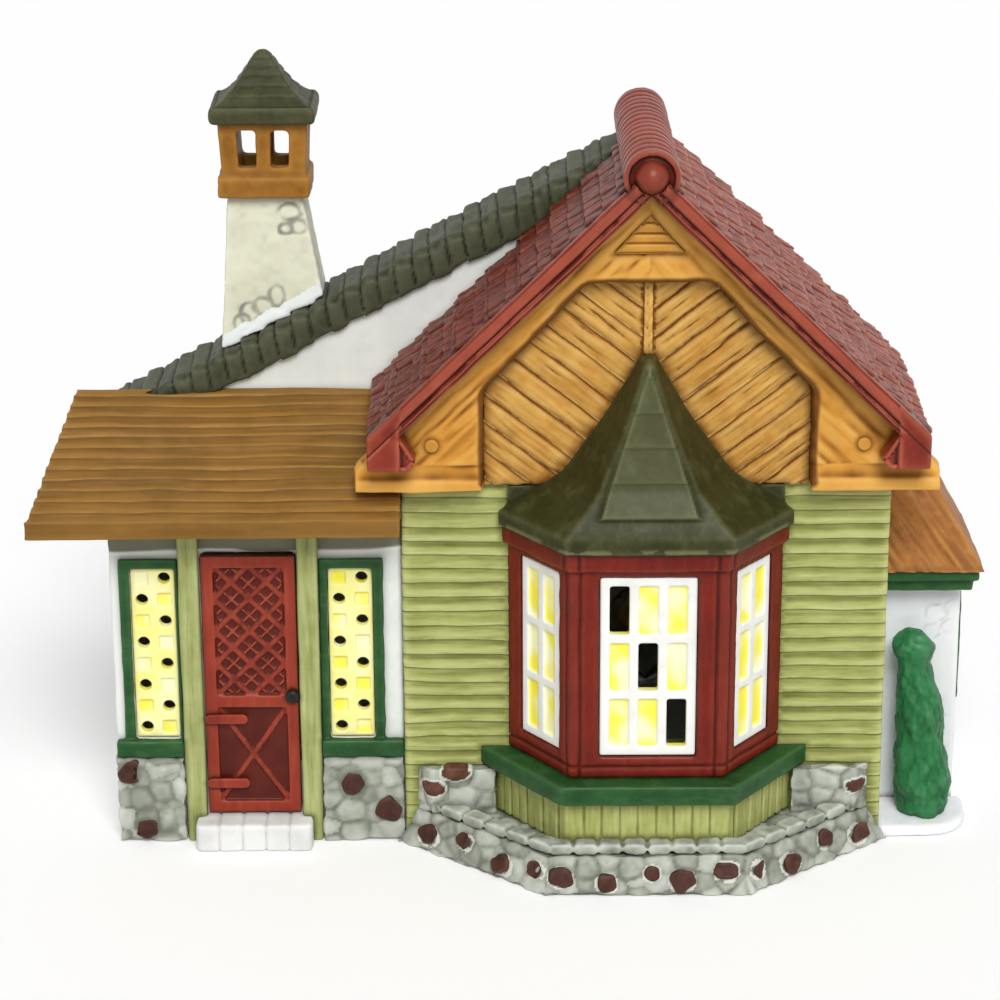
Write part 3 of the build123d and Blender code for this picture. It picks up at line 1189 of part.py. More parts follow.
with BuildPart() as chimney_lantern:
    with BuildSketch(Plane.XY.offset(STACK_TOP_Z)):
        with Locations((lantern_x, stack_mid_y)):
            Rectangle(LANTERN_W, LANTERN_D)
    extrude(amount=LANTERN_H)
    with BuildSketch(Plane.XY.offset(STACK_TOP_Z)):
        with Locations((lantern_x, stack_mid_y)):
            Rectangle(LANTERN_W + 2 * LANTERN_BAND_OUT, LANTERN_D + 2 * LANTERN_BAND_OUT)
    extrude(amount=LANTERN_BAND_H)
    with BuildSketch(Plane.XY.offset(STACK_TOP_Z)):
        with Locations((lantern_x, stack_mid_y)):
            bore_w = STACK_TOP_RIGHT_X - STACK_TOP_LEFT_X - 2 * STACK_WALL
            Rectangle(bore_w, LANTERN_D - 2 * STACK_WALL)
    extrude(amount=LANTERN_H, mode=Mode.SUBTRACT)
    with BuildSketch(Plane.XZ.offset(-STACK_FRONT_Y + OVERRUN)):
        slot_mid_z = STACK_TOP_Z + LANTERN_BAND_H + (LANTERN_H - LANTERN_BAND_H) / 2
        with Locations(*[(lantern_x + side * LANTERN_SLOT_X, slot_mid_z) for side in (-1, 1)]):
            Rectangle(LANTERN_SLOT_W, LANTERN_SLOT_H)
    extrude(amount=-(STACK_BACK_Y - STACK_FRONT_Y + 2 * OVERRUN), mode=Mode.SUBTRACT)
finish(chimney_lantern.part, "chimney_lantern")

cap_foot_z = STACK_TOP_Z + LANTERN_H
cap_w, cap_d = LANTERN_W + 2 * CAP_OUT, LANTERN_D + 2 * CAP_OUT
with BuildPart() as chimney_cap:
    with BuildSketch(Plane.XY.offset(cap_foot_z)):
        with Locations((lantern_x, stack_mid_y)):
            Rectangle(cap_w, cap_d)
    extrude(amount=CAP_RIM_H)
    for course in range(CAP_COURSE_COUNT):
        low_share, high_share = 1 - course / CAP_COURSE_COUNT, 1 - (course + 1) / CAP_COURSE_COUNT
        course_z = cap_foot_z + CAP_RIM_H + (CAP_H - CAP_RIM_H) * course / CAP_COURSE_COUNT
        for level, share, step in ((0, low_share, 0), (1, high_share, CAP_STEP)):
            with BuildSketch(Plane.XY.offset(course_z + level * (CAP_H - CAP_RIM_H) / CAP_COURSE_COUNT)):
                with Locations((lantern_x, stack_mid_y)):
                    course_w = CAP_TIP + (cap_w - CAP_TIP) * share - step
                    course_d = CAP_TIP + (cap_d - CAP_TIP) * share - step
                    Rectangle(course_w, course_d)
        loft(ruled=True)
finish(chimney_cap.part, "chimney_cap")

# Lamp: a clip-in holder behind the back wall with its screw shell, contact, clip and a candelabra bulb
wall_face_y = HOUSE_DEPTH
holder_front_y = wall_face_y - LAMP_BODY_IN
holder_back_y = wall_face_y + LAMP_FLANGE_T + LAMP_BODY_OUT
bore_end_y = holder_front_y + LAMP_BORE_DEEP
lamp_axis = Axis((0, 0, LAMP_Z), (0, 1, 0))
lamp_plane = Plane(origin=(0, 0, LAMP_Z), x_dir=(0, 1, 0), z_dir=(1, 0, 0))
with BuildPart() as lamp_holder:
    with BuildSketch(lamp_plane):
        with BuildLine():
            Polyline(
                (holder_front_y, LAMP_BORE_R), (holder_front_y, LAMP_BODY_R), (wall_face_y, LAMP_BODY_R),
                (wall_face_y, LAMP_FLANGE_R), (wall_face_y + LAMP_FLANGE_T, LAMP_FLANGE_R),
                (wall_face_y + LAMP_FLANGE_T, LAMP_BODY_R), (holder_back_y - LAMP_FLANGE_T, LAMP_BODY_R),
                (holder_back_y, LAMP_BODY_R - LAMP_FLANGE_T), (holder_back_y, CORD_INLET_R),
                (bore_end_y, CORD_INLET_R), (bore_end_y, LAMP_BORE_R), close=True,
            )
        make_face()
    revolve(axis=lamp_axis)
finish(lamp_holder.part, "lamp_holder")

shell_out_r = LAMP_BORE_R - LUTE_GAP
with BuildPart() as screw_shell:
    with BuildSketch(lamp_plane):
        with Locations((bore_end_y - SHELL_L / 2, shell_out_r - SHELL_T / 2)):
            Rectangle(SHELL_L, SHELL_T)
    revolve(axis=lamp_axis)
finish(screw_shell.part, "screw_shell")

contact_y = bore_end_y - CONTACT_T
with BuildPart() as centre_contact:
    with BuildSketch(lamp_plane):
        with Locations((bore_end_y - CONTACT_T / 2, CONTACT_R / 2)):
            Rectangle(CONTACT_T, CONTACT_R)
    revolve(axis=lamp_axis)
finish(centre_contact.part, "centre_contact")

collar_r = LAMP_BODY_R + LUTE_GAP
leaf_r = LAMP_HOLE_R - CLIP_RUN_GAP
with BuildPart() as lamp_clip:
    with BuildSketch(lamp_plane):
        with Locations((holder_front_y + CLIP_COLLAR_L, collar_r + SHEET_T / 2)):
            Rectangle(CLIP_COLLAR_L, SHEET_T)
    revolve(axis=lamp_axis)
    for leaf in range(CLIP_LEAF_COUNT):
        around = radians(360 * leaf / CLIP_LEAF_COUNT)
        radial = Vector(sin(around), 0, cos(around))
        leaf_plane = Plane(origin=(0, 0, LAMP_Z), x_dir=(0, 1, 0), z_dir=radial.cross(Vector(0, 1, 0)) * -1)
        with BuildSketch(leaf_plane):
            with BuildLine():
                root_y = holder_front_y + CLIP_COLLAR_L
                bend_y = wall_face_y - WALL
                Polyline(
                    (root_y, collar_r), (bend_y, leaf_r - SHEET_T), (wall_face_y, leaf_r - SHEET_T),
                    (wall_face_y, leaf_r), (bend_y, leaf_r), (root_y, collar_r + SHEET_T), close=True,
                )
            make_face()
        extrude(amount=CLIP_LEAF_W / 2, both=True)
finish(lamp_clip.part, "lamp_clip")

tip_front_y = contact_y - BULB_TIP_L
base_front_y = tip_front_y - BULB_BASE_L
with BuildPart() as bulb_tip:
    with BuildSketch(lamp_plane):
        with Locations((contact_y - BULB_TIP_L / 2, BULB_TIP_R / 2)):
            Rectangle(BULB_TIP_L, BULB_TIP_R)
    revolve(axis=lamp_axis)
finish(bulb_tip.part, "bulb_tip")

with BuildPart() as bulb_base:
    with BuildSketch(lamp_plane):
        with Locations((tip_front_y - BULB_BASE_L / 2, BULB_BASE_R / 2)):
            Rectangle(BULB_BASE_L, BULB_BASE_R)
    revolve(axis=lamp_axis)
finish(bulb_base.part, "bulb_base")

with BuildPart() as bulb_glass:
    with BuildSketch(lamp_plane):
        for wall_in, mode in ((0, Mode.ADD), (BULB_GLASS_T, Mode.SUBTRACT)):
            with BuildLine():
                reach = BULB_L - wall_in
                outline = [
                    (base_front_y - reach * along, max(BULB_R * width - wall_in, 0))
                    for along, width in BULB_SHAPE
                ]
                Spline(*outline)
                Polyline(outline[-1], (base_front_y, 0), outline[0])
            make_face(mode=mode)
    revolve(axis=lamp_axis)
finish(bulb_glass.part, "bulb_glass")

stem_front_y = base_front_y - STEM_L
with BuildPart() as bulb_stem:
    with BuildSketch(lamp_plane):
        with BuildLine():
            Polyline(
                (base_front_y, 0), (base_front_y, STEM_R), (stem_front_y, STEM_R / 2), (stem_front_y, 0),
                close=True,
            )
        make_face()
    revolve(axis=lamp_axis)
finish(bulb_stem.part, "bulb_stem")

filament_y = base_front_y - FILAMENT_REACH
with BuildPart() as filament:
    with BuildLine() as wire:
        FilletPolyline(
            (-FILAMENT_R * 2, stem_front_y, LAMP_Z), (-FILAMENT_HALF, filament_y, LAMP_Z),
            (FILAMENT_HALF, filament_y, LAMP_Z), (FILAMENT_R * 2, stem_front_y, LAMP_Z),
            radius=2 * FILAMENT_R,
        )
    with BuildSketch(Plane(origin=wire.line @ 0, z_dir=wire.line % 0)):
        Circle(FILAMENT_R)
    sweep()
finish(filament.part, "filament")
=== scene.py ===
"""Dresses the porcelain village house: soft cast edges, hand-painted bisque, dark-washed crevices with painted shade,
and its lamp.

Every casting starts as a copy of its CAD node, is remeshed to the soft edges of slip casting, carved with relief,
and painted with finishes that read Object coordinates and each piece's own attributes. Lengths are in millimetres and
angles in degrees unless a line says otherwise.
"""

from __future__ import annotations

import json
import logging
import math
from dataclasses import dataclass
from enum import Enum
from typing import Any, Callable, ClassVar

import bpy
import numpy as np
from mathutils import Euler, Matrix, Vector, kdtree
from mathutils.bvhtree import BVHTree

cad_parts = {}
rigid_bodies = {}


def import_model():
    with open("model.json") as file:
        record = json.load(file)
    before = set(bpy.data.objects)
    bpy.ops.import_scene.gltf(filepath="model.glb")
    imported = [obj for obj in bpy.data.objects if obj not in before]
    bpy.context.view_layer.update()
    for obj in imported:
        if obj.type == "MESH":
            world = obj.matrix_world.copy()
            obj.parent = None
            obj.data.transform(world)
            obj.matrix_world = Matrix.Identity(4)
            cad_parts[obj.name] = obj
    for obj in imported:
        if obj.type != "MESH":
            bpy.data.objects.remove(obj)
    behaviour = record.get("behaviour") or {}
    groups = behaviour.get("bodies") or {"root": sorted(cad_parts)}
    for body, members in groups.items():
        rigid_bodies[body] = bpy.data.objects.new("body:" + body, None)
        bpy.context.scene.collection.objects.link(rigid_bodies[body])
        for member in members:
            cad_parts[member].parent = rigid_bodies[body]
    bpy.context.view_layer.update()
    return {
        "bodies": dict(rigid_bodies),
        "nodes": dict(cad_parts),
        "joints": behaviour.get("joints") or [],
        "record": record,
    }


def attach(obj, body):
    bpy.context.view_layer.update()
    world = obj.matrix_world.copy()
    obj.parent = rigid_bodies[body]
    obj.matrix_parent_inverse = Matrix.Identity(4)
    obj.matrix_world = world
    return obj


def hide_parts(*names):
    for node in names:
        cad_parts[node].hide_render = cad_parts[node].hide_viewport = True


MM = 0.001
HOUSE = "house"
FRONT = (0.0, -1.0, 0.0)
CREVICE = "crevice"
CREST = "crest"
DEPTH = "depth"
TONE = "tone"
JOINT = "joint"
OCTAVES = 2
HASH = (73856093, 19349663, 83492791)
LOG = logging.getLogger("village_house")

Array = np.ndarray
Triple = tuple[float, float, float]
Ovals = tuple[tuple[float, float, float, float], ...]


def linear(colour: Triple) -> tuple[float, float, float, float]:
    """Turns a display colour of 0 to 255 into linear light with alpha.

    Args:
        colour: Red, green and blue as seen on screen.

    Returns:
        The four numbers a colour socket takes.
    """
    parts = [c / 255 for c in colour]
    light = [c / 12.92 if c <= 0.04045 else ((c + 0.055) / 1.055) ** 2.4 for c in parts]
    return light[0], light[1], light[2], 1.0


class Value:
    """One output socket of a paint recipe, with arithmetic that adds Math nodes."""

    def __init__(self, recipe: "Recipe", socket: bpy.types.NodeSocket) -> None:
        """Keeps the recipe and the socket it wraps."""
        self.recipe = recipe
        self.socket = socket

    def _math(self, operation: str, first: Any, second: Any) -> "Value":
        """Adds one Math node and returns its result."""
        return self.recipe.node("ShaderNodeMath", {"operation": operation}, {0: first, 1: second})

    def __add__(self, other: Any) -> "Value":
        """Sum."""
        return self._math("ADD", self, other)

    __radd__ = __add__

    def __sub__(self, other: Any) -> "Value":
        """Difference."""
        return self._math("SUBTRACT", self, other)

    def __mul__(self, other: Any) -> "Value":
        """Product."""
        return self._math("MULTIPLY", self, other)

    def highest(self, other: Any) -> "Value":
        """The larger of two values."""
        return self._math("MAXIMUM", self, other)

    def lowest(self, other: Any) -> "Value":
        """The smaller of two values."""
        return self._math("MINIMUM", self, other)

    def saw(self) -> "Value":
        """The part after the decimal point."""
        return self._math("FRACT", self, 0.0)

    def rise(self, low: float, high: float) -> "Value":
        """Smooth step from 0 at low to 1 at high.

        Args:
            low: Value where the step starts.
            high: Value where it ends; it may be below low.

        Returns:
            A mask from 0 to 1.
        """
        settings = {"interpolation_type": "SMOOTHSTEP", "clamp": True}
        if low < high:
            return self.recipe.node("ShaderNodeMapRange", settings, {0: self, 1: low, 2: high, 3: 0.0, 4: 1.0})
        return self.recipe.node("ShaderNodeMapRange", settings, {0: self, 1: high, 2: low, 3: 1.0, 4: 0.0})


class Recipe:
    """The node tree of one paint, with one method that adds any node."""

    def __init__(self, name: str) -> None:
        """Starts an empty material.

        Args:
            name: The material's name.
        """
        self.material = bpy.data.materials.new(name)
        self.material.use_nodes = True
        self.tree = self.material.node_tree
        self.tree.nodes.clear()
        self._place: Value | None = None

    def node(
        self, kind: str, settings: dict[str, Any] | None = None, inputs: dict[Any, Any] | None = None, out: Any = 0
    ) -> Value:
        """Adds a node, sets it up and links its inputs.

        Args:
            kind: The node's type.
            settings: Properties, which are set first.
            inputs: Values or links by the socket's number, name or identifier.
            out: The output's number, name or identifier.

        Returns:
            The wrapped output.
        """
        made = self.tree.nodes.new(kind)
        for key, value in (settings or {}).items():
            setattr(made, key, value)
        for key, value in (inputs or {}).items():
            socket = self._find(made.inputs, key)
            if isinstance(value, Value):
                self.tree.links.new(value.socket, socket)
            else:
                socket.default_value = value
        return Value(self, self._find(made.outputs, out))

    @staticmethod
    def _find(sockets: Any, key: Any) -> bpy.types.NodeSocket:
        """Finds a socket.

        Args:
            sockets: A node's inputs or outputs.
            key: The socket's number, identifier or name.

        Returns:
            The socket.
        """
        if isinstance(key, int):
            return sockets[key]
        return next(s for s in sockets if key in (s.identifier, s.name))

    def place(self) -> Value:
        """Object coordinates in millimetres, made once.

        Returns:
            The coordinates.
        """
        if self._place is None:
            metres = self.node("ShaderNodeTexCoord", out="Object")
            self._place = self.node("ShaderNodeVectorMath", {"operation": "SCALE"}, {0: metres, "Scale": 1 / MM})
        return self._place

    def streaked(self, sizes: Triple) -> Value:
        """Fine noise drawn out along a grain.

        Args:
            sizes: Size of a streak along each axis.

        Returns:
            A value about 0.5.
        """
        scale = tuple(1 / size for size in sizes)
        drawn = self.node("ShaderNodeMapping", {}, {"Vector": self.place(), "Scale": scale})
        return self.noise(1.0, drawn, 4.0, 0.6)

    def noise(self, size: float, place: Value | None = None, detail: float = 3.0, rough: float = 0.55) -> Value:
        """Soft noise.

        Args:
            size: Size of its blotches.
            place: Coordinates, if not the piece's own.
            detail: Octaves.
            rough: Strength of the finer octaves.

        Returns:
            A value about 0.5.
        """
        return self.node(
            "ShaderNodeTexNoise", {"noise_dimensions": "3D"},
            {"Vector": place or self.place(), "Scale": 1 / size, "Detail": detail, "Roughness": rough}, "Fac",
        )

    def own(self, attribute: str) -> Value:
        """One of the piece's own attributes."""
        return self.node("ShaderNodeAttribute", {"attribute_name": attribute}, out="Fac")

    def mix(self, share: Any, first: Any, second: Any) -> Value:
        """Blends two colours.

        Args:
            share: 0 for the first colour, 1 for the second.
            first: A colour of 0 to 255, or a linked colour.
            second: The same.

        Returns:
            The blended colour.
        """
        pair = [c if isinstance(c, Value) else linear(c) for c in (first, second)]
        return self.node(
            "ShaderNodeMix", {"data_type": "RGBA", "clamp_factor": True},
            {"Factor_Float": share, "A_Color": pair[0], "B_Color": pair[1]}, "Result_Color",
        )

    def bump(self, height: Value, depth: float, after: Value | None = None) -> Value:
        """A bump normal from a height.

        Args:
            height: Height from 0 to 1.
            depth: What a height of 1 stands for.
            after: An earlier bump that this one adds to.

        Returns:
            The normal.
        """
        inputs: dict[Any, Any] = {"Height": height, "Strength": 1.0, "Distance": depth * MM}
        if after is not None:
            inputs["Normal"] = after
        return self.node("ShaderNodeBump", {}, inputs)

    def finish(self, shader: Value) -> bpy.types.Material:
        """Links the shader to the output.

        Args:
            shader: The finished shader.

        Returns:
            The material.
        """
        output = self.tree.nodes.new("ShaderNodeOutputMaterial")
        self.tree.links.new(shader.socket, output.inputs["Surface"])
        return self.material


def scatter(cell: Array, seed: int) -> Array:
    """One fixed random number from 0 to 1 for each whole-numbered cell.

    Args:
        cell: Whole numbers, one row of three for each cell.
        seed: Picks another set of numbers.

    Returns:
        One number a row.
    """
    mixed = cell * np.array(HASH)
    key = mixed[:, 0] ^ mixed[:, 1] ^ mixed[:, 2] ^ (seed + 11) * 2654435761
    key = (key ^ (key >> 13)) * 1274126177
    return ((key ^ (key >> 16)) & 0xFFFF) / 65535.0


def patchy(points: Array, size: Triple | float, seed: int) -> Array:
    """Smooth blotches for carving; one long axis of their size draws out a grain.

    Args:
        points: Places, one row each.
        size: Size of a blotch, or its size along each axis.
        seed: Picks another pattern.

    Returns:
        Heights from about -1 to 1.
    """
    place = points / np.array(size) + 3.7
    total = np.zeros(len(points))
    for octave in range(OCTAVES):
        cell = np.floor(place).astype(np.int64)
        part = place - cell
        part = part * part * (3 - 2 * part)
        for corner in range(8):
            step = np.array([corner & 1, corner >> 1 & 1, corner >> 2])
            share = np.prod(np.where(step == 1, part, 1 - part), axis=1)
            total += (2 * scatter(cell + step, seed + octave) - 1) * share * 0.5**octave
        place = place * 2.03 + 5.7
    return total / (2 - 0.5 ** (OCTAVES - 1))


def pebbled(points: Array, size: Triple, seed: int) -> tuple[Array, Array]:
    """Jittered cells for stones and leaves.

    Args:
        points: Places, one row each.
        size: Size of a cell along each axis.
        seed: Picks another pattern.

    Returns:
        The height of a rounded stone at each place, from 0 in the joints to 1, and its own tone from 0 to 1.
    """
    place = points / np.array(size)
    cell = np.floor(place).astype(np.int64)
    nearest = np.full(len(points), 9.0)
    second = np.full(len(points), 9.0)
    tone = np.zeros(len(points))
    for corner in range(27):
        other = cell + np.array([corner % 3 - 1, corner // 3 % 3 - 1, corner // 9 - 1])
        jitter = np.stack([scatter(other, seed + axis) for axis in (1, 2, 3)], axis=1) * 0.7 + 0.15
        gap = np.linalg.norm(place - other - jitter, axis=1)
        closer = gap < nearest
        second = np.where(closer, nearest, np.minimum(second, gap))
        tone = np.where(closer, scatter(other, seed + 4), tone)
        nearest = np.where(closer, gap, nearest)
    joint = np.clip((second - nearest) * 3.0, 0, 1)
    return np.clip(1 - (nearest / 0.85) ** 2, 0, 1) * (0.6 + 0.4 * joint), tone


def ridge(away: Array, width: float) -> Array:
    """A soft ridge or groove: 1 where away is 0, fading over the width."""
    return np.exp(-((away / width) ** 2))


def joint_line(part: Array, width: float) -> Array:
    """1 where a part of a board or shingle is near 0 or 1, fading over the width."""
    return ridge(np.minimum(part, 1 - part), width)


def scatter_rows(rows: Array) -> Array:
    """One fixed random number from 0 to 1 for each row of planks."""
    row = np.floor(rows).astype(np.int64)
    return scatter(np.stack([row, row * 0, row * 0], axis=1), 7)


def search_tree(places: list[Any]) -> kdtree.KDTree:
    """Sorts places so that the nearest is found quickly.

    Args:
        places: The places.

    Returns:
        The search tree.
    """
    tree = kdtree.KDTree(len(places))
    for number, place in enumerate(places):
        tree.insert(place, number)
    tree.balance()
    return tree


@dataclass
class Surface:
    """Places on a piece's surface, and the directions it faces there.

    Attributes:
        points: The places, one row each.
        normals: The directions, one row each.
    """

    points: Array
    normals: Array

    @property
    def x(self) -> Array:
        """The places from left to right."""
        return self.points[:, 0]

    @property
    def y(self) -> Array:
        """The places from front to back."""
        return self.points[:, 1]

    @property
    def z(self) -> Array:
        """The places' heights."""
        return self.points[:, 2]

    def frontal(self, least: float = 0.3) -> Array:
        """True where the surface looks to the front by at least so much."""
        return self.normals[:, 1] < -least

    def patchy(self, size: Triple | float, seed: int) -> Array:
        """Smooth blotches on the surface, from about -1 to 1."""
        return patchy(self.points, size, seed)

    def shift(self, x: Array | float = 0.0, y: Array | float = 0.0, z: Array | float = 0.0) -> Array:
        """Shifts along each axis, one row for each place."""
        return np.stack([np.zeros(len(self.points)) + part for part in (x, y, z)], axis=1)

    def outlines(self, stones: Ovals, width: float) -> Array:
        """Incised outlines of a few stones in a plastered face, seen from the front.

        Args:
            stones: Middle x, middle z, half width and half height of each stone.
            width: Width of the incised line.

        Returns:
            1 in the line and 0 elsewhere.
        """
        line = np.zeros(len(self.points))
        wobble = self.patchy((2.6, 9.0, 2.6), 5)
        brushed = np.clip(0.5 + 0.8 * self.patchy((2.0, 9.0, 2.0), 63), 0, 1)
        for mid_x, mid_z, half_x, half_z in stones:
            reach = np.hypot((self.x - mid_x) / half_x, (self.z - mid_z) / half_z)
            away = (reach * (1 + 0.34 * wobble) - 1) * min(half_x, half_z)
            smudge = 0.45 * brushed * ridge(away, 3 * width)
            line = np.maximum(line, np.maximum(ridge(away, width), smudge))
        return line * (0.5 + 0.5 * self.patchy(3.0, 6))


Field = Callable[[Surface], Array]


def uneven(*layers: tuple[float, Triple | float, int]) -> Field:
    """A carving of smooth blotches.

    Args:
        layers: Depth, size and seed of each layer of blotches.

    Returns:
        The carving.
    """

    def carve(face: Surface) -> Array:
        """Adds up the layers' heights."""
        return sum(depth * face.patchy(size, seed) for depth, size, seed in layers)

    return carve


HAND_CUT = uneven((0.2, 3.5, 22))
FINE_CUT = uneven((0.14, 3.5, 27), (0.06, (1.2, 1.2, 6.0), 28))
DENTED = uneven((0.16, 5.0, 10))
PLASTERED = uneven((0.12, 9.0, 11), (0.05, 2.5, 12))
CHIPPED = uneven((0.28, 2.4, 33))


@dataclass(frozen=True)
class Cobbles:
    """Rounded stones with sunk joints.

    Attributes:
        size: Size of a stone along each axis.
        seed: Picks their pattern.
        rise: Height of a stone.
        sink: How far the joints are cut back.
        pit: Size of the pits in the stones.
    """

    size: Triple
    seed: int
    rise: float
    sink: float
    pit: float

    def relief(self, face: Surface) -> Array:
        """Domes with sunk joints."""
        dome = pebbled(face.points, self.size, self.seed)[0]
        return self.rise * dome - self.sink + 0.14 * face.patchy(self.pit, self.seed + 1)

    def tone(self, face: Surface) -> Array:
        """Each stone's own grey, from 0 to 1."""
        return pebbled(face.points, self.size, self.seed)[1]


class Side(Enum):
    """The two pieces of a pair."""

    LEFT = "left"
    RIGHT = "right"


@dataclass(frozen=True)
class BisquePaint:
    """Brushed ceramic paint on bisque: blotched tones, crevices darkened by washed-in paint and painted shade, and
    worn crests.

    Attributes:
        name: The material's name.
        base: Main colour of 0 to 255.
        tint: Second tone of the brushwork.
        wash_and_shade: Dark tone of paint washed into crevices and of dark streaks, and the painted shade in
            crevices, joints and lap lines.
        crest: Light tone where relief is worn, also the light along board edges, which is part painted highlight.
        wash_and_shade_share: How strongly the dark of the crevices and joints shows, washed-in paint and painted
            shade.
        crest_share: How strongly the worn crests show.
        grain: Size of a brush streak along each axis.
        grain_share: How strongly the streaks show.
        blotch: Size of the brushwork's blotches.
        roughness: Mean roughness.
        coat: Weight of a thin satin glaze.
        bare_from: Depth from which the casting is left unpainted, 0 for none.
        dull: Height of the fine bump.
    """

    made: ClassVar[dict["BisquePaint", bpy.types.Material]] = {}

    name: str
    base: Triple
    tint: Triple
    wash_and_shade: Triple
    crest: Triple
    wash_and_shade_share: float = 0.9
    crest_share: float = 0.5
    grain: Triple = (6.0, 6.0, 6.0)
    grain_share: float = 0.25
    blotch: float = 11.0
    roughness: float = 0.52
    coat: float = 0.0
    bare_from: float = 0.0
    dull: float = 0.035

    BARE: ClassVar[Triple] = (226, 225, 221)
    SPECULAR: ClassVar[float] = 0.16
    COAT_ROUGH: ClassVar[float] = 0.3

    def colour(self, recipe: Recipe) -> Value:
        """The painted colour.

        Args:
            recipe: The material's node tree.

        Returns:
            The colour before any bare clay shows.
        """
        blotches = recipe.noise(self.blotch, detail=4.0).rise(0.36, 0.66)
        painted = recipe.mix(blotches, self.base, self.tint)
        streaks = recipe.streaked(self.grain)
        painted = recipe.mix(streaks.rise(0.5, 0.72) * self.grain_share, painted, self.wash_and_shade)
        painted = recipe.mix(streaks.rise(0.5, 0.3) * self.grain_share, painted, self.crest)
        worn = recipe.own(CREST) * (0.55 + recipe.noise(3.0) * 0.9)
        painted = recipe.mix(worn * self.crest_share, painted, self.crest)
        # Crevices and places beside other pieces take the dark tone: paint washed into the hollows, and painted shade
        # where the relief and the joints would lie in shadow.
        washed_and_shaded = recipe.own(CREVICE).highest(recipe.own(JOINT) * 0.9) * (0.6 + recipe.noise(5.0) * 0.8)
        return recipe.mix(washed_and_shaded * self.wash_and_shade_share, painted, self.wash_and_shade)

    def material(self) -> bpy.types.Material:
        """The finished material, made once for each paint.

        Returns:
            The material.
        """
        if self not in self.made:
            self.made[self] = self.mix_paint()
        return self.made[self]

    def mix_paint(self) -> bpy.types.Material:
        """Builds the node tree.

        Returns:
            The material.
        """
        recipe = Recipe(self.name)
        colour = self.colour(recipe)
        if self.bare_from:
            edge = recipe.own(DEPTH) + recipe.noise(4.0) * 0.7
            colour = recipe.mix(edge.rise(self.bare_from, self.bare_from + 0.6), colour, self.BARE)
        mottle = recipe.noise(1.6, detail=3.0)
        rough = (recipe.noise(7.0) * 0.3 + self.roughness - 0.15) + recipe.own(CREVICE) * 0.12
        normal = recipe.bump(mottle, self.dull)
        normal = recipe.bump(recipe.streaked(self.grain), self.dull * 2.0, normal)
        shader = recipe.node(
            "ShaderNodeBsdfPrincipled", {},
            {
                "Base Color": colour, "Roughness": rough, "Normal": normal, "Coat Weight": self.coat,
                "Specular IOR Level": self.SPECULAR, "Coat Roughness": self.COAT_ROUGH,
            },
        )
        return recipe.finish(shader)


@dataclass(frozen=True)
class PanePaint(BisquePaint):
    """White window bars with yellow panes brushed into their recesses.

    Attributes:
        pane: Yellow of the panes.
        glow: Lighter yellow where the white clay shows through.
        recess: Depth where a pane starts.
    """

    pane: Triple = (247, 236, 84)
    glow: Triple = (250, 247, 200)
    recess: float = 0.4

    def colour(self, recipe: Recipe) -> Value:
        """The bars' white and the panes' yellow.

        Args:
            recipe: The material's node tree.

        Returns:
            The colour.
        """
        bars = BisquePaint.colour(self, recipe)
        thin = recipe.noise(8.0, detail=1.0).rise(0.38, 0.64)
        yellow = recipe.mix(thin, self.pane, self.glow)
        slip = recipe.noise(2.2) * 0.5 - 0.25
        return recipe.mix((recipe.own(DEPTH) + slip).rise(self.recess - 0.2, self.recess + 0.15), bars, yellow)


@dataclass(frozen=True)
class LapPaint(BisquePaint):
    """Boards counted by the tone: a painted shade line under each board's edge, with dark paint in the lap, and a
    light edge that is part dry-brushing and part painted highlight.

    Attributes:
        line: Width of the painted shade line, as a part of a board.
        line_share: How strongly the painted shade line shows.
        edge: Width of the light edge, part painted highlight, as a part of a board.
        edge_share: How strongly the light edge shows.
    """

    line: float = 0.16
    line_share: float = 0.8
    edge: float = 0.22
    edge_share: float = 0.5

    def colour(self, recipe: Recipe) -> Value:
        """Brushed boards with their painted shade lines and light edges.

        Args:
            recipe: The material's node tree.

        Returns:
            The colour.
        """
        boards = BisquePaint.colour(self, recipe)
        part = recipe.own(TONE).saw()
        dry = recipe.noise(4.5, detail=4.0).rise(0.38, 0.62)
        # Light edge along each board: dry-brushing, and painted highlight where the proud edge catches the light.
        boards = recipe.mix(part.rise(self.edge, 0.0) * dry * self.edge_share, boards, self.crest)
        pressed = 0.55 + recipe.noise(6.0, detail=3.0) * 0.9
        # Dark line under each board's edge: painted shade where the board above laps over, with dark paint in the
        # lap.
        return recipe.mix(part.rise(1 - self.line, 1.0) * pressed * self.line_share, boards, self.wash_and_shade)


@dataclass(frozen=True)
class StonePaint(BisquePaint):
    """Cobbles whose tone follows each stone, with white clay left bare round the brown ones.

    Attributes:
        rim: Colour left round the brown stones.
        brown: Colour of the brown stones that are painted in.
        chipped: Second tone of those.
        tone_share: How strongly each stone's own tone shows.
    """

    rim: Triple = (214, 212, 202)
    brown: Triple = (80, 49, 39)
    chipped: Triple = (104, 68, 55)
    tone_share: float = 0.7

    def colour(self, recipe: Recipe) -> Value:
        """Grey stones of differing tone.

        Args:
            recipe: The material's node tree.

        Returns:
            The colour.
        """
        stones = BisquePaint.colour(self, recipe)
        tone = recipe.own(TONE)
        stones = recipe.mix(tone.rise(0.55, 1.0) * self.tone_share, stones, self.crest)
        stones = recipe.mix(tone.rise(0.45, 0.0) * self.tone_share, stones, self.wash_and_shade)
        stones = recipe.mix(tone.rise(1.2, 1.8) * 0.85, stones, self.rim)
        brown = recipe.mix(recipe.noise(2.6, detail=3.0).rise(0.4, 0.65), self.brown, self.chipped)
        return recipe.mix(tone.rise(-0.3, -0.7), stones, brown)


